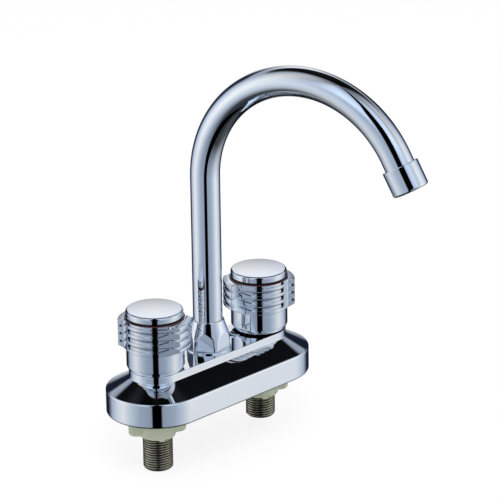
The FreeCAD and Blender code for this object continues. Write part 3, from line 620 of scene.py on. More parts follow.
def machined_brass(finish):
    """Turned brass with fine rings and slight tarnish."""
    rings_per_radian = 14000.0

    def build(tree):
        tarnish = tree.noise(120.0, 5.0, 0.6)
        place = tree.add("ShaderNodeTexCoord").outputs["Object"]
        height = tree.add("ShaderNodeSeparateXYZ", {"Vector": place}).outputs["Z"]
        ring = tree.math("SINE", tree.product(height, rings_per_radian))
        tint = tree.mixed(tarnish, darker(finish.brass, 0.62), tuple(finish.brass))
        return tree.principled(Base_Color=tint, Metallic=1.0,
                               Roughness=tree.spread(tarnish, 0.34, 0.20),
                               Normal=tree.bump(ring, 0.12, 0.00004))
    return new_material("machined brass", build)


def ring_plastic(finish):
    """Glossy index ring: coloured at its rim, and darkened under the cap by painted shade."""
    def build(tree):
        crest = tree.add("ShaderNodeAttribute", attribute_name="crest").outputs["Fac"]
        # Painted shade under the cap: away from the rim the ring's colour falls to 0.04 of itself.
        tint = tree.mixed(crest, darker(finish.ring_plastic, 0.04), tuple(finish.ring_plastic))
        gloss = tree.spread(tree.noise(200.0, 3.0, 0.5), 0.26, 0.16)
        return tree.principled(Base_Color=tint, Roughness=gloss, IOR=1.55)
    return new_material("ring plastic", build)


class TapOperator:
    """Runs build with the tap's settings."""

    def execute(self, context):
        self.build(context.scene.basin_tap)
        return {"FINISHED"}


class BASINTAP_OT_base_cover(TapOperator, bpy.types.Operator):
    """Builds the chromed base cover with its rim, slope and raised tier"""

    bl_idname = "basintap.base_cover"
    bl_label = "Base Cover"

    def build(self, tap):
        base = tap.base
        radius, rim, foot = to_mm(base.base_width / 2.0, base.rim_height, base.tier_foot)
        tier, top, wall = to_mm(base.tier_width / 2.0, base.tier_top, base.cover_wall)
        roundings = to_mm(base.tier_rounding, base.rim_rounding, base.foot_rounding)
        inner_rim, inner_foot = rim - 0.5 * wall, foot - 0.5 * wall
        crease, inner_edge = 0.35, 0.2
        profile = rounded_profile([
            (0.0, top, 0.0), (tier, top, roundings[0]), (tier, foot, crease),
            (radius, rim, roundings[1]), (radius, 0.0, roundings[2]),
            (radius - wall, 0.0, inner_edge), (radius - wall, inner_rim, 0.0), (tier - wall, inner_foot, 0.0),
            (tier - wall, top - wall, 0.0), (0.0, top - wall, 0.0),
        ])
        spacing = half_spacing(base)
        piece = make_piece("base_cover_shell", oval_grid(profile, spacing), chrome_plating(tap.finish),
                           "body", ["base_cover"])
        valve_hole, socket_hole, margin = 9.2, 12.7, 1.0
        cut_holes(piece, [(-spacing, valve_hole), (spacing, valve_hole), (0.0, socket_hole)],
                  top - wall - margin, top + margin)


def shank_thread(base, bottom, top):
    """Threaded tube and how near each point is to the crest, which sets the painted shade in the thread's
    roots.

    radius = crest radius - depth x (1 - ridge), where ridge is a flattened triangle wave of
    height / pitch - angle / full turn. It fades out under the base, and the foot is chamfered.
    """
    radius, bore, throat, bore_top = to_mm(base.shank_radius, base.shank_bore, base.shank_throat,
                                           base.shank_bore_top)
    pitch, depth = to_mm(base.thread_pitch, base.thread_depth)
    thread_top, fade_run, chamfer, rows_per_pitch = -0.6, 0.6, 1.2, 11.0
    flank, root = 1.35, 0.12
    angle = full_turn(72)
    height = np.arange(bottom, thread_top, pitch / rows_per_pitch)[:, None]
    phase = (height / pitch - angle / (2.0 * np.pi)) % 1.0
    ridge = np.clip(flank * np.abs(2.0 * phase - 1.0) - root, 0.0, 1.0)
    fade = np.clip((thread_top - fade_run - height) / fade_run, 0.0, 1.0)
    cut = np.clip(chamfer - (height - bottom), 0.0, None)
    reach = np.minimum(radius - depth * (1.0 - ridge) * fade, radius - cut)
    plain = np.array([(radius, 0.5 * thread_top), (radius, top), (throat, top), (throat, bore_top),
                      (bore, bore_top), (bore, bottom)])
    grid = np.concatenate([polar(angle, reach, height), polar(angle, plain[:, :1], plain[:, 1:])])
    # Nearness to the crest is the mask of the painted shade in the roots; the plain tube above the thread
    # gets 0.5.
    crest = np.full(grid.shape[:2], 0.5)
    crest[:len(height)] = ridge * fade + (1.0 - fade)
    return grid, crest


class BASINTAP_OT_shanks(TapOperator, bpy.types.Operator):
    """Builds the two threaded inlet shanks"""

    bl_idname = "basintap.shanks"
    bl_label = "Inlet Shanks"

    def build(self, tap):
        for side, x, low in (("left", -1, SHANK_LOW.z), ("right", 1, RIGHT_SHANK_LOW.z)):
            grid, crest = shank_thread(tap.base, *to_mm(low, SHANK_HIGH.z))
            make_piece(side + "_shank_thread", shifted(grid, x * half_spacing(tap.base)),
                       thread_bronze(tap.finish), "body", [side + "_shank"],
                       values=crest, sharp=60.0)


def wing_nut_grid(base):
    """Sleeve with two wings and two feet.

    The plan's reach at an angle off a wing's middle is half the width over its sine, ended by
    the tip's circle, and nowhere less than the sleeve's radius. The feet lower the bottom edge.
    """
    radius, reach, width = to_mm(base.nut_radius, base.wing_reach, base.wing_width)
    clearance, foot_depth, foot_half, foot_edge, wing_rise = 0.05, 0.9, 2.3, 0.03, 2.0
    fillet, well_inside, wing_rounding, chamfer = 0.5, 1.5, 2.0, 0.4
    bore = to_mm(base.shank_radius)[0] + clearance
    foot_bottom, top = to_mm(WING_NUT_LOW.z, WING_NUT_HIGH.z)
    bottom, wing_bottom = foot_bottom + foot_depth, foot_bottom + wing_rise
    angle = full_turn(540)
    off = (angle + 0.5 * np.pi) % np.pi - 0.5 * np.pi
    tip = width / 2.0
    middle = reach - tip
    inside = np.clip(tip ** 2 - (middle * np.sin(off)) ** 2, 0.0, None)
    tip_reach = middle * np.cos(off) + np.sqrt(inside)
    side_reach = tip / np.maximum(np.abs(np.sin(off)), 1e-6)
    wing = np.where(np.abs(off) < math.atan2(tip, middle), tip_reach, side_reach)
    plan = 0.5 * (wing + radius + np.sqrt((wing - radius) ** 2 + fillet ** 2))
    plan = np.where(wing < radius - well_inside, radius, np.minimum(plan, reach))
    foot_off = (angle - (base.foot_angle - base.wing_angle) + 0.5 * np.pi) % np.pi - 0.5 * np.pi
    in_foot = np.clip((math.asin(foot_half / radius) - np.abs(foot_off)) / foot_edge, 0.0, 1.0)
    sole = bottom - foot_depth * in_foot
    wing_share = np.clip((plan - radius) / (reach - radius), 0.0, 1.0)
    places = [
        (bore + chamfer, sole), (radius - 0.5, sole), (radius - 0.15, sole + 0.12),
        (radius, sole + 0.45), (radius, wing_bottom - 0.25),
    ]
    places += [(radius + (plan - radius) * part, wing_bottom + 0.15 * part)
               for part in (0.06, 0.3, 0.6)]
    places += [(plan - inset * wing_share, wing_bottom + 0.2 + up)
               for inset, up in quarter_round(wing_rounding, 8)]
    places += [
        (plan, top - 0.5), (plan - 0.12, top - 0.12), (plan - 0.45, top), (bore + chamfer, top),
        (bore, top - chamfer), (bore, bottom + chamfer),
    ]
    return rotated(np.stack([polar(angle, *place) for place in places]), base.wing_angle)


class BASINTAP_OT_mounting_nuts(TapOperator, bpy.types.Operator):
    """Builds the plastic wing nuts on the shanks"""

    bl_idname = "basintap.mounting_nuts"
    bl_label = "Mounting Nuts"

    def build(self, tap):
        for side, x in (("left", -1), ("right", 1)):
            grid = shifted(wing_nut_grid(tap.base), x * half_spacing(tap.base))
            make_piece(side + "_wing_nut", grid, nut_nylon(tap.finish), "body",
                       [side + "_mounting_nut"], sharp=50.0)


def handle_angles(handle):
    """Plan angles of the columns, in radians: close together at the corners, over both halves."""
    ear, pad, notch = (math.degrees(a) for a in (handle.ear_arc, handle.pad_arc, handle.notch_arc))
    root = ear + math.degrees(ramp_arc(handle))
    pad_start, foot = 180.0 - pad, 180.0 - math.degrees(handle.wall_arc)
    half = np.concatenate([
        [0.0, 0.06, 0.16, 0.32, 0.52, 0.78, 1.13],
        np.linspace(1.9, ear, 52), np.linspace(ear, root, 46)[1:],
        np.linspace(root, pad_start - notch - 0.6, 62)[1:],
        pad_start - notch + np.linspace(-0.4, 0.6, 6), pad_start + np.linspace(-2.8, -0.6, 4),
        pad_start + np.linspace(-0.4, 0.2, 5), np.linspace(pad_start + 1.0, foot, 14),
        np.linspace(foot + 0.08, 179.9, 12),
    ])
    return np.radians(np.concatenate([half, half + 180.0]))


def ramp_arc(handle):
    """Angle that a ramp spans: it leaves the band at a tangent and ends on the ear's circle."""
    return math.acos(handle.band_radius / handle.ear_radius)


def handle_plan(handle, angle):
    """How each column stands in the plan.

    Each half turn has an ear on its own circle, a straight ramp down to the band, the plain
    band, a notch where the ribs end, and a flat pad before the next ear's step. The grooves
    close on the ramp, where its climb towards the ear passes two thirds, and the pad has none.
    Returns the angle within the half turn, the angle off the facet's middle, the ears, how
    open and how deep the band's grooves are, how near the heights are to the ear's, and the
    notch.
    """
    closing, groove_fade, level_start = 1.5, 0.2, 0.68
    edge = math.radians(0.35)
    local = angle % np.pi
    ramp = ramp_arc(handle)
    root, pad_start = handle.ear_arc + ramp, math.pi - handle.pad_arc
    on_ramp = np.clip(root - local, 0.0, ramp)
    climb = np.clip(np.tan(on_ramp) / math.tan(ramp), 0.0, 1.0)
    padded = np.clip((local - pad_start) / handle.pad_arc, 0.0, 1.0)
    notch = smooth_step((local - pad_start + handle.notch_arc) / edge)
    open_share = np.where(local < pad_start, np.clip(1.0 - closing * climb, 0.0, 1.0), 0.0)
    levelled = smooth_step((climb - level_start) / (1.0 - level_start))
    return {
        "local": local, "tilt": np.where(local < root, on_ramp, np.clip(local - pad_start, 0.0, None)),
        "ear": local <= handle.ear_arc, "open": open_share,
        "grooved": smooth_step(open_share / groove_fade),
        "heights": np.maximum(levelled, smooth_step(padded)),
        "notch": notch * smooth_step((pad_start - local) / edge),
    }


def band_reach(handle, plan, shallow, deep):
    """Radius of the band for a groove depth between the ears, shallow, and in the ears, deep.

    Between the ears it is (band radius - groove) / cos(angle off the facet), kept in the ear's
    circle. The wall of an ear's step leans back, and its corner is rounded by a quarter circle.
    The ears' grooves are deeper near that wall, and the band's grooves at the notch.
    """
    corner, blend, notch_depth, notch_gain, wall_gain, wall_run = 0.5, 0.12, 0.15, 1.2, 0.9, 0.17
    plain, tip = to_mm(handle.band_radius, handle.ear_radius)
    run = np.clip(corner - tip * plan["local"], 0.0, corner)
    rounded = corner - np.sqrt(corner ** 2 - run ** 2)
    notch = plan["notch"]
    groove = shallow * plan["grooved"] * (1.0 + notch_gain * notch) + notch_depth * notch
    wall = np.clip((plan["local"] - math.pi) / handle.wall_arc + 1.0, 0.0, 1.0)
    facet = (plain - groove) / np.cos(plan["tilt"])
    facet = facet + wall * (tip - corner - plain / math.cos(handle.pad_arc))
    near_wall = np.maximum(smooth_step(1.0 - plan["local"] / wall_run), np.ceil(wall))
    tooth = tip - deep * (1.0 + wall_gain * near_wall) - np.where(plan["ear"], rounded, 0.0)
    return np.where(plan["ear"], tooth, soft_smaller(facet, tooth, blend))


def groove_lines(handle):
    """Lines down one groove: (band height, band depth, ear height, ear depth), from its top.

    In the band the rib above has a rounded lower edge, the floor stands upright, and a hollow
    runs out on the flat top of the rib below. In the ears the groove is narrow with rounded lips.
    """
    width, depth, deep = to_mm(handle.rib_pitch - handle.rib_height, handle.rib_depth,
                               handle.ear_groove_depth)
    hollow, lip = handle.rib_hollow * depth, handle.rib_lip * depth
    held, half_width, ear_lip = 0.03, 1.2, 0.75
    band = [(1.3, 0.0), *quarter_round(lip, 5), (0.0, depth - held), (-0.04, depth),
            (-0.5 * width, depth), (hollow - width + 0.1, depth)]
    band += [(up - width, depth - out) for up, out in quarter_round(hollow, 5)]
    band += [(-width, held), (-width - held, 0.0), (-width - 0.2, 0.0)]
    half = np.array([1.3, 1.14, 1.0, 0.87, 0.76, 0.66, 0.57, 0.45, 0.2])
    ear_height = np.concatenate([half, -half[::-1]])
    ear_depth = deep * smooth_step((half_width - np.abs(ear_height)) / ear_lip)
    return [(*line, *ear) for line, ear in zip(band, zip(ear_height, ear_depth))]


def handle_grid(handle):
    """Closed surface of the handle: deck, band, skirt, hollow and hub, in that order.

    Each row goes round the handle. The small offsets place rows along a form and round its
    edges by tenths of a millimetre. A row's level is blended between the band and the ears.
    """
    plain, skirt, bottom, deck = to_mm(handle.band_radius, handle.skirt_radius, handle.band_bottom,
                                       handle.deck_height)
    recess, pitch, rib, depth = to_mm(handle.recess_radius, handle.rib_pitch, handle.rib_height,
                                      handle.rib_depth)
    low, top = to_mm(HANDLE_LOW.z, HANDLE_HIGH.z)
    angle = handle_angles(handle)
    plan = handle_plan(handle, angle)
    crest, edge = (band_reach(handle, plan, groove, 0.0) for groove in (0.0, depth))
    nearness = plan["heights"]
    rows = []

    def add(*places):
        rows.extend(polar(angle, reach, level) for reach, level in places)

    def band_top(reach):
        return top - handle.top_fall * np.clip(reach - plain, 0.0, None)

    def ribbed_row(band_level, band_depth, ear_level, ear_depth=0.0):
        level = band_level + (ear_level - band_level) * nearness
        add((band_reach(handle, plan, band_depth, ear_depth), level))

    def groove_row(rib_bottom, band_height, band_depth, ear_height, ear_depth):
        gap = (pitch - rib) * plan["open"]
        held = np.minimum(band_height + pitch - rib, gap) - gap if band_height < 0.0 else band_height
        ribbed_row(rib_bottom + held, band_depth, rib_bottom + ear_height, ear_depth)

    hole, deck_wall = to_mm(handle.screw_hole, handle.deck_wall)
    rim = recess + 0.3
    add((hole, deck), (recess - 0.3, deck), (recess, deck), (recess, deck + 0.3),
        (recess, top - 0.25), (recess + 0.08, top - 0.05), (rim, top))
    lip = 0.12 + 0.4 * nearness
    for part in (0.3, 0.6, 0.85):
        reach = rim + (edge - lip - rim) * part
        add((reach, band_top(reach)))
    upper = band_top(edge)
    add(*((edge - lip * inset, upper - lip * down) for inset, down in quarter_round(1.0, 6)))
    top_rib = bottom + (handle.ribs - 1) * pitch + rib
    hollow = handle.rib_hollow * depth
    ribbed_row(top_rib + hollow + 0.1, depth, upper - 1.1)
    for part, (up, out) in zip(np.linspace(0.0, 1.0, 5), quarter_round(hollow, 5)):
        ribbed_row(top_rib + up, depth - out, upper - 1.3 - 0.5 * part)
    ribbed_row(top_rib, 0.03, upper - 2.0)
    ribbed_row(top_rib - 0.03, 0.0, upper - 2.1)
    for index in range(handle.ribs - 1, 0, -1):
        rib_bottom = bottom + index * pitch
        for part in (0.3, 0.7):
            ribbed_row(rib_bottom + rib - 0.3 - 0.6 * part, 0.0, rib_bottom + 2.4 - part)
        for line in groove_lines(handle):
            groove_row(rib_bottom, *line)
    under_lip, under_slope = 0.4, 0.5
    start, under = bottom + rib - 0.4, bottom + under_slope * (crest - plain)
    add(*((crest, start + (under + 0.6 - start) * part) for part in (0.3, 0.65, 1.0)))
    add(*((crest - inset, under + up) for inset, up in reversed(quarter_round(under_lip, 5))))
    for part in (0.3, 0.65, 0.95):
        reach = crest - under_lip + (skirt - crest + under_lip) * part
        add((reach, bottom + under_slope * np.clip(reach - plain, 0.0, None)))
    chamfer, chamfer_height = 1.2, 2.8
    add(*((skirt, level) for level in (bottom, bottom - 0.3, bottom - 4.0, low + 7.0, low + 3.1)))
    add((skirt, low + chamfer_height), (skirt - 0.1 * chamfer, low + 2.4),
        (skirt - 0.9 * chamfer, low + 0.3), (skirt - 1.25, low + 0.05), (skirt - 1.5, low))
    wall, hub, bore, hub_bottom = to_mm(handle.skirt_wall, handle.hub_radius, handle.hub_bore,
                                        handle.hub_bottom)
    inside, ceiling, seat = skirt - wall, deck - deck_wall, deck - 2.0
    add((inside + 0.3, low), (inside, low + 0.3), (inside, ceiling), (hub, ceiling),
        (hub, hub_bottom), (bore, hub_bottom), (bore, seat), (hole, seat))
    return np.stack(rows)


class BASINTAP_OT_handles(TapOperator, bpy.types.Operator):
    """Builds both ribbed handles"""

    bl_idname = "basintap.handles"
    bl_label = "Handles"

    def build(self, tap):
        handle = tap.handle
        casting = handle_grid(handle)
        mirror = np.array([1.0, -1.0, 1.0])
        for side, x, angle, rise, hand in (("left", -1, handle.left_turn, 0.0, mirror),
                                           ("right", 1, handle.right_turn, RIGHT_LIFT, 1.0)):
            grid = shifted(rotated(casting * hand, angle), x * half_spacing(tap.base), 0.0, rise)
            make_piece(side + "_handle_casting", grid, cast_chrome(tap.finish),
                       side + "_tap_handle", [side + "_handle"], sharp=40.0)


def cap_grid(handle):
    """Domed cap: the top falls away from its middle by the dome's rise times (radius / edge)^2.

    Its edge has a chamfer below, and a plug reaches down into the recess.
    """
    edge = outer_radius(CAP_LOW, CAP_HIGH)
    recess, rounding, dome, deck, wall = to_mm(handle.recess_radius, handle.cap_rounding,
                                               handle.cap_dome, handle.deck_height, handle.cap_wall)
    top, rim = to_mm(CAP_HIGH.z, RING_HIGH.z)
    shoulder, chamfer, chamfer_height = edge - 4.0, 0.95, 1.15
    plug, ceiling = recess - 0.05, top - dome - wall
    side = rounded_profile([
        (shoulder, top - dome * (shoulder / edge) ** 2, 0.0), (edge, top - dome, rounding),
        (edge, rim + chamfer_height, 0.15), (edge - chamfer, rim, 0.1), (plug, rim, 0.0),
        (plug, deck, 0.2), (plug - wall, deck, 0.0), (plug - wall, ceiling, 0.0), (0.0, ceiling, 0.0),
    ], steps=8)
    radius = np.linspace(0.0, shoulder - 0.6, 8)
    crown = np.stack([radius, top - dome * (radius / edge) ** 2], axis=-1)
    return turned_grid(np.vstack([crown, side]), 192)


def ring_grid(handle):
    """Thin ring with a softened outer edge, and how near each point is to that edge: the mask of the painted
    shade under the cap, 0 in the shade and 1 at the rim.
    """
    outer = outer_radius(RING_LOW, RING_HIGH)
    inner, low, high = to_mm(handle.recess_radius, RING_LOW.z, RING_HIGH.z)
    # Width of the rim that is left unshaded, and the width over which the painted shade under the cap fades
    # in.
    unshaded_rim_width, painted_shade_fade = 0.5, 0.45
    grid = turned_grid(rounded_profile([
        (inner, low, 0.0), (outer, low, 0.2), (outer, high, 0.3), (outer - 0.55, high, 0.0),
        (inner, high, 0.0),
    ], hold=0.1), 192)
    reach = np.hypot(grid[..., 0], grid[..., 1])
    return grid, smooth_step((reach - outer + unshaded_rim_width) / painted_shade_fade)


class BASINTAP_OT_caps(TapOperator, bpy.types.Operator):
    """Builds the caps and the dark rings under them"""

    bl_idname = "basintap.caps"
    bl_label = "Caps and Rings"

    def build(self, tap):
        cap = cap_grid(tap.handle)
        # rim is the mask of the painted shade under the cap, 0 where the ring is shaded and 1 at its rim.
        ring, rim = ring_grid(tap.handle)
        for side, x, rise in (("left", -1, 0.0), ("right", 1, RIGHT_LIFT)):
            place = (x * half_spacing(tap.base), 0.0, rise)
            body = side + "_tap_handle"
            make_piece(side + "_handle_cap", shifted(cap, *place), cast_chrome(tap.finish),
                       body, [side + "_cap"])
            make_piece(side + "_colour_ring", shifted(ring, *place), ring_plastic(tap.finish),
                       body, [side + "_index_ring"], values=rim)


def pipe_path(spout):
    """Middle line of the pipe and its direction, with the spout along +X.

    It rises straight, turns on a circle's arc, x = bend (1 - cos t), z = start + bend sin t, and
    runs straight on into the collar.
    """
    low, start, bend = to_mm(PIPE_LOW.z, spout.bend_start, spout.bend_radius)
    straight, sleeve = to_mm(spout.tip_straight, spout.collar_sleeve)
    rise = np.linspace(low, start, 14)
    swing = np.linspace(0.0, spout.bend_angle, 122)[1:]
    run = np.linspace(0.0, straight + sleeve, 5)[1:]
    tip = np.array([math.sin(spout.bend_angle), 0.0, math.cos(spout.bend_angle)])
    zero = np.zeros_like
    upright = np.stack([zero(rise), zero(rise), rise], axis=-1)
    arc = np.stack([bend * (1 - np.cos(swing)), zero(swing), start + bend * np.sin(swing)], axis=-1)
    along = np.concatenate([
        np.tile([0.0, 0.0, 1.0], (len(rise), 1)),
        np.stack([np.sin(swing), zero(swing), np.cos(swing)], axis=-1),
        np.tile(tip, (len(run), 1)),
    ])
    return np.concatenate([upright, arc, arc[-1] + run[:, None] * tip]), along


def tube_grid(spout, radius):
    """Circle carried along the path: place + radius (cos(angle) level + sin(angle) outward)."""
    place, along = pipe_path(spout)
    angle = full_turn(112)[None, :, None]
    level = np.array([0.0, 1.0, 0.0])
    outward = np.cross(along, level)[:, None, :]
    grid = place[:, None, :] + radius * (np.cos(angle) * level + np.sin(angle) * outward)
    return rotated(grid, spout.swivel)


class BASINTAP_OT_spout(TapOperator, bpy.types.Operator):
    """Builds the swan-necked pipe"""

    bl_idname = "basintap.spout"
    bl_label = "Spout Pipe"

    def build(self, tap):
        radius, wall = to_mm(tap.spout.pipe_radius, tap.spout.pipe_wall)
        outer, inner = (tube_grid(tap.spout, reach) for reach in (radius, radius - wall))
        make_piece("spout_pipe_drawn", np.concatenate([outer, inner[::-1]]), drawn_chrome(tap.finish),
                   "spout", ["spout_pipe"])


class BASINTAP_OT_outlet(TapOperator, bpy.types.Operator):
    """Builds the outlet collar at the spout's tip"""

    bl_idname = "basintap.outlet"
    bl_label = "Outlet Collar"

    def build(self, tap):
        spout = tap.spout
        radius, run, sleeve, rounding = to_mm(spout.collar_radius, spout.collar_length,
                                              spout.collar_sleeve, spout.collar_rounding)
        pipe, bore, mouth = to_mm(spout.pipe_radius, spout.collar_bore, spout.collar_mouth)
        bore_rim, ledge = pipe + 0.05, run - 1.0
        profile = rounded_profile([
            (bore_rim, 0.0, 0.0), (radius, 0.0, 0.45), (radius, run, rounding), (mouth, run, 0.3),
            (mouth, ledge, 0.0), (bore, ledge, 0.0), (bore, sleeve, 0.0), (bore_rim, sleeve, 0.0),
        ], steps=7)
        place, along = pipe_path(spout)
        start = place[-1] - along[-1] * sleeve
        across = np.array([0.0, 1.0, 0.0])
        axes = np.stack([np.cross(across, along[-1]), across, along[-1]])
        make_piece("outlet_collar_turned", rotated(turned_grid(profile) @ axes + start, spout.swivel),
                   chrome_plating(tap.finish), "spout", ["outlet_collar"])


def spout_nut_grid(spout):
    """Cone cut by six upright flats, with rounded ends.

    The radius is the smaller of the cone's at that height and half the flats' distance over
    the cosine of the angle from the nearest flat's middle, rounded where the two meet.
    """
    low, high = to_mm(SPOUT_NUT_LOW.z, SPOUT_NUT_HIGH.z)
    waist, bottom_radius, waist_radius, top_radius = to_mm(
        spout.nut_waist, spout.nut_bottom_radius, spout.nut_waist_radius, spout.nut_top_radius)
    flats, pipe, rounding = to_mm(spout.nut_flats, spout.pipe_radius, spout.nut_rounding)
    bore, bore_top = to_mm(spout.nut_bore, spout.nut_bore_top)
    blend, clearance = 0.25, 0.06
    angle = full_turn(432)
    off = (angle - spout.nut_flat_turn + np.pi / 6.0) % (np.pi / 3.0) - np.pi / 6.0
    flat = 0.5 * flats / np.cos(off)
    end = np.array([0.0, 0.03, 0.1, 0.2, 0.32, 0.46, 0.62, 0.8])
    heights = np.concatenate([
        low + end, np.linspace(low + 1.2, waist - 0.8, 12),
        np.linspace(waist - 0.5, waist + 0.5, 7), np.linspace(waist + 0.8, high - 1.2, 24),
        high - end[::-1],
    ])[:, None]
    cone = np.interp(heights, [low, waist, high], [bottom_radius, waist_radius, top_radius])
    from_end = 1.0 - np.clip(np.minimum(heights - low, high - heights) / rounding, 0.0, 1.0)
    reach = soft_smaller(flat, cone, blend) - rounding * (1.0 - np.sqrt(1.0 - from_end ** 2))
    inner = np.array([(pipe + clearance, high), (pipe + clearance, bore_top), (bore, bore_top),
                      (bore, low)])
    return np.concatenate([polar(angle, reach, heights), polar(angle, inner[:, :1], inner[:, 1:])])


class BASINTAP_OT_spout_nut(TapOperator, bpy.types.Operator):
    """Builds the conical spout nut and the ring under it"""

    bl_idname = "basintap.spout_nut"
    bl_label = "Spout Nut"

    def build(self, tap):
        chrome = chrome_plating(tap.finish)
        make_piece("spout_nut_forged", spout_nut_grid(tap.spout), chrome, "body", ["spout_nut"],
                   sharp=50.0)
        radius = outer_radius(BOSS_LOW, BOSS_HIGH)
        bore, low, high = to_mm(tap.spout.boss_bore, BOSS_LOW.z, BOSS_HIGH.z)
        profile = rounded_profile([
            (bore, low, 0.0), (radius, low, 0.0), (radius, high, 0.5), (bore, high, 0.0),
        ], hold=0.1)
        make_piece("spout_boss_washer", turned_grid(profile), chrome, "body",
                   ["spout_boss_ring"])


class BASINTAP_OT_inner_pieces(TapOperator, bpy.types.Operator):
    """Gives the pieces inside the tap, which keep their CAD shapes, their finishes"""

    bl_idname = "basintap.inner_pieces"
    bl_label = "Inner Pieces"

    def build(self, tap):
        finish = tap.finish
        by_slot = {
            "brass": machined_brass(finish),
            "plate_plastic": moulded_plastic("plate plastic", tuple(finish.dark_plastic), 0.5),
            "insert_plastic": moulded_plastic("insert plastic", tuple(finish.pale_plastic), 0.4),
            "clip_plastic": moulded_plastic("clip plastic", tuple(finish.pale_plastic), 0.45),
            "ring_plastic": ring_plastic(finish),
            "rubber": moulded_plastic("seal rubber", tuple(finish.rubber), 0.6, 0.8),
            "fibre": moulded_plastic("gland fibre", tuple(finish.fibre), 0.75, 0.7, 400.0),
            "steel": plain_steel(finish),
            "chrome": chrome_plating(finish),
            "threaded_brass": thread_bronze(finish),
            "nut_plastic": nut_nylon(finish),
        }
        for part in frame["record"]["subparts"]:
            for slot in frame["nodes"][part["node"]].material_slots:
                slot.material = by_slot[part["material_slot"]]


def camera_axes(stage):
    """Camera's right, up and backward directions."""
    azimuth, elevation = stage.camera_azimuth, stage.camera_elevation
    level = Vector((math.cos(azimuth), math.sin(azimuth), 0.0))
    back = Vector((math.sin(azimuth) * math.cos(elevation), -math.cos(azimuth) * math.cos(elevation),
                   math.sin(elevation)))
    upright = back.cross(level)
    cos, sin = math.cos(stage.camera_roll), math.sin(stage.camera_roll)
    return level * cos + upright * sin, upright * cos - level * sin, back


def add_camera(stage):
    """Camera at the photograph's viewpoint."""
    right, up, back = camera_axes(stage)
    data = bpy.data.cameras.new("camera")
    data.lens = stage.camera_lens
    data.sensor_width = stage.camera_sensor
    data.clip_start, data.clip_end = 0.05, 50.0
    camera = add_object("camera", data)
    place = right * stage.camera_right + up * stage.camera_up + back * stage.camera_distance
    camera.matrix_world = Matrix.Translation(place) @ Matrix((right, up, back)).transposed().to_4x4()
    bpy.context.scene.camera = camera


def add_floor(stage):
    """Plain white floor, which keeps the tap's soft shadow and isn't mirrored in the chrome."""
    reach = stage.floor_reach
    corners = [(-reach, -reach), (reach, -reach), (reach, reach), (-reach, reach)]
    mesh = bpy.data.meshes.new("floor")
    mesh.from_pydata([(x, y, stage.floor_height) for x, y in corners], [], [(0, 1, 2, 3)])
    floor = add_object("floor", mesh)

    def build(tree):
        seen = tree.add("ShaderNodeLightPath").outputs["Is Camera Ray"]
        paper = tree.add("ShaderNodeBsdfDiffuse", {"Color": (0.8, 0.8, 0.8, 1.0)})
        glow = tree.add("ShaderNodeEmission", {"Color": WHITE, "Strength": stage.floor_glow})
        amount = tree.product(seen, stage.floor_glow_share)
        return tree.either(amount, paper.outputs[0], glow.outputs[0])

    mesh.materials.append(new_material("studio floor", build))
    floor.visible_glossy = False


def add_lamp(stage):
    """Large soft lamp above and in front, which the chrome doesn't mirror."""
    data = bpy.data.lights.new("soft_lamp", "AREA")
    data.shape, data.size, data.energy = "DISK", stage.lamp_size, stage.lamp_power
    lamp = add_object("soft_lamp", data)
    lamp.location = place = Vector((-0.75, -0.95, 1.55))
    lamp.rotation_euler = (-place).to_track_quat("-Z", "Y").to_euler()
    lamp.visible_glossy = False


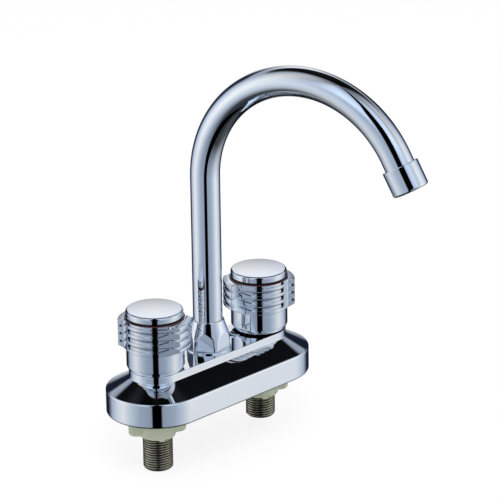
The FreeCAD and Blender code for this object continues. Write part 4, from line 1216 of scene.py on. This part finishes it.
def add_surroundings(stage):
    """Studio round the tap, painted by direction.

    round_share is 0 at the camera and 1 opposite it, and elevation goes from -1 straight below
    to 1 overhead. White soft boxes stand left and right of the camera, with a narrow dark gap
    between them at the camera that widens at its top and far below. Behind them it is dark
    down low and grey higher up, with a pale backdrop opposite, and dark overhead at the back.
    Only mirroring surfaces see the boxes. Matt ones get an even light, and the camera white.
    """
    world = bpy.data.worlds.new("studio")
    bpy.context.scene.world = world
    world.use_nodes = True
    tree = NodeTree(world.node_tree)
    direction = tree.add("ShaderNodeTexCoord").outputs["Generated"]
    azimuth = stage.camera_azimuth

    def along(*axis):
        inputs = {0: direction, 1: axis}
        return tree.add("ShaderNodeVectorMath", inputs, operation="DOT_PRODUCT").outputs["Value"]

    ahead = along(math.sin(azimuth), -math.cos(azimuth), 0.0)
    across = along(math.cos(azimuth), math.sin(azimuth), 0.0)
    bearing = tree.math("SUBTRACT", tree.math("ARCTAN2", across, ahead), stage.gap_turn)
    wrapped = tree.math("WRAP", bearing, math.pi, -math.pi)
    round_share = tree.math("DIVIDE", tree.math("ABSOLUTE", wrapped), math.pi)
    elevation = tree.math("DIVIDE", tree.math("ARCSINE", along(0.0, 0.0, 1.0)), 0.5 * math.pi)
    level = tree.math("MULTIPLY_ADD", elevation, 0.5, 0.5)

    wide_top = tree.product(tree.step(elevation, -0.05, 0.12),
                            tree.step(elevation, 0.6, 0.4, 0.0, 0.035),
                            tree.step(round_share, 0.5, 0.2))
    wider = tree.math("ADD", wide_top, tree.step(elevation, -0.3, -0.6, 0.0, 0.06))
    gap_share = tree.math("SUBTRACT", round_share, wider)
    boxes = [
        (0.0, 0.0), (0.054, 0.0), (0.072, (0.34, 0.40, 0.50)), (0.22, (0.42, 0.49, 0.60)),
        (0.33, (0.62, 0.70, 0.80)), (0.46, 1.0), (0.56, (0.80, 0.86, 0.95)),
    ]
    night = (0.01, 0.015, 0.03)
    panels = tree.ramp(gap_share, boxes + [
        (0.68, (0.49, 0.55, 0.68)), (0.74, (0.14, 0.16, 0.22)), (0.79, night), (0.90, night),
        (0.945, (0.53, 0.56, 0.62)), (0.97, (0.91, 0.94, 1.0)), (1.0, 1.0),
    ])
    raised = tree.ramp(gap_share, boxes + [
        (0.68, (0.50, 0.56, 0.66)), (0.80, (0.42, 0.47, 0.56)), (0.90, (0.70, 0.74, 0.80)),
        (0.96, (0.90, 0.93, 0.98)), (1.0, (0.91, 0.94, 1.0)),
    ])
    fall = tree.ramp(level, [
        (0.0, 0.04), (0.22, 0.10), (0.31, 0.60), (0.39, 0.86), (0.5, 1.0), (0.61, 0.9), (0.75, 0.62),
        (0.84, 0.5), (0.92, 0.25), (1.0, 0.10),
    ])
    backdrop = tree.ramp(level, [
        (0.0, 0.55), (0.49, 0.50), (0.53, 0.34), (0.561, 0.37), (0.611, 0.65), (0.656, 0.96),
        (1.0, 1.0),
    ])
    painted = tree.mixed(1.0, tree.mixed(tree.step(elevation, 0.26, 0.34), panels, raised), fall,
                         "MULTIPLY")
    lit_backdrop = tree.math("SUBTRACT", tree.product(backdrop, stage.backdrop_light), 1.0)
    rise = tree.product(lit_backdrop, tree.step(round_share, 0.90, 0.96))
    lifted = tree.product(tree.step(round_share, 0.36, 0.20), tree.step(elevation, 0.10, 0.45),
                          stage.panel_lift)
    canopy = tree.product(tree.step(round_share, 0.58, 0.76), tree.step(elevation, 0.40, 0.47),
                          stage.canopy_shade)
    gain = tree.math("ADD", tree.math("ADD", rise, 1.0), lifted)
    strength = tree.product(tree.math("SUBTRACT", 1.0, canopy), gain, stage.studio_light)

    def background(tint, brightness):
        return tree.add("ShaderNodeBackground", {"Color": tint, "Strength": brightness}).outputs[0]

    path = tree.add("ShaderNodeLightPath").outputs
    lit = tree.either(path["Is Glossy Ray"], background(WHITE, stage.sky_light),
                      background(painted, strength))
    seen = tree.either(path["Is Camera Ray"], lit, background(WHITE, 1.0))
    tree.add("ShaderNodeOutputWorld", {"Surface": seen})


class BASINTAP_OT_stage(TapOperator, bpy.types.Operator):
    """Sets the camera, the floor, the lamp and the studio's surroundings"""

    bl_idname = "basintap.stage"
    bl_label = "Stage"

    def build(self, tap):
        bpy.context.scene.view_settings.view_transform = "Standard"
        add_camera(tap.stage)
        add_floor(tap.stage)
        add_lamp(tap.stage)
        add_surroundings(tap.stage)


OPERATORS = (
    BASINTAP_OT_stage,
    BASINTAP_OT_base_cover,
    BASINTAP_OT_shanks,
    BASINTAP_OT_mounting_nuts,
    BASINTAP_OT_handles,
    BASINTAP_OT_caps,
    BASINTAP_OT_spout,
    BASINTAP_OT_outlet,
    BASINTAP_OT_spout_nut,
    BASINTAP_OT_inner_pieces,
)


class BASINTAP_PT_panel(bpy.types.Panel):
    """Lists the operators that build the tap"""

    bl_idname = "BASINTAP_PT_panel"
    bl_label = "Basin Tap"
    bl_space_type = "VIEW_3D"
    bl_region_type = "UI"
    bl_category = "Basin Tap"

    def draw(self, context):
        column = self.layout.column(align=True)
        for operator in OPERATORS:
            column.operator(operator.bl_idname)


CLASSES = (
    BasinTapBaseSettings,
    BasinTapHandleSettings,
    BasinTapSpoutSettings,
    BasinTapFinishSettings,
    BasinTapStageSettings,
    BasinTapSettings,
    *OPERATORS,
    BASINTAP_PT_panel,
)


def register():
    """Registers the settings, the operators and the panel."""
    for item in CLASSES:
        bpy.utils.register_class(item)
    bpy.types.Scene.basin_tap = PointerProperty(type=BasinTapSettings)


def unregister():
    """Removes what register added, in the reverse order."""
    del bpy.types.Scene.basin_tap
    for item in reversed(CLASSES):
        bpy.utils.unregister_class(item)


def main():
    """Builds the whole tap and its stage."""
    register()
    for operator in OPERATORS:
        group, name = operator.bl_idname.split(".")
        getattr(getattr(bpy.ops, group), name)()


if __name__ == "__main__":
    main()
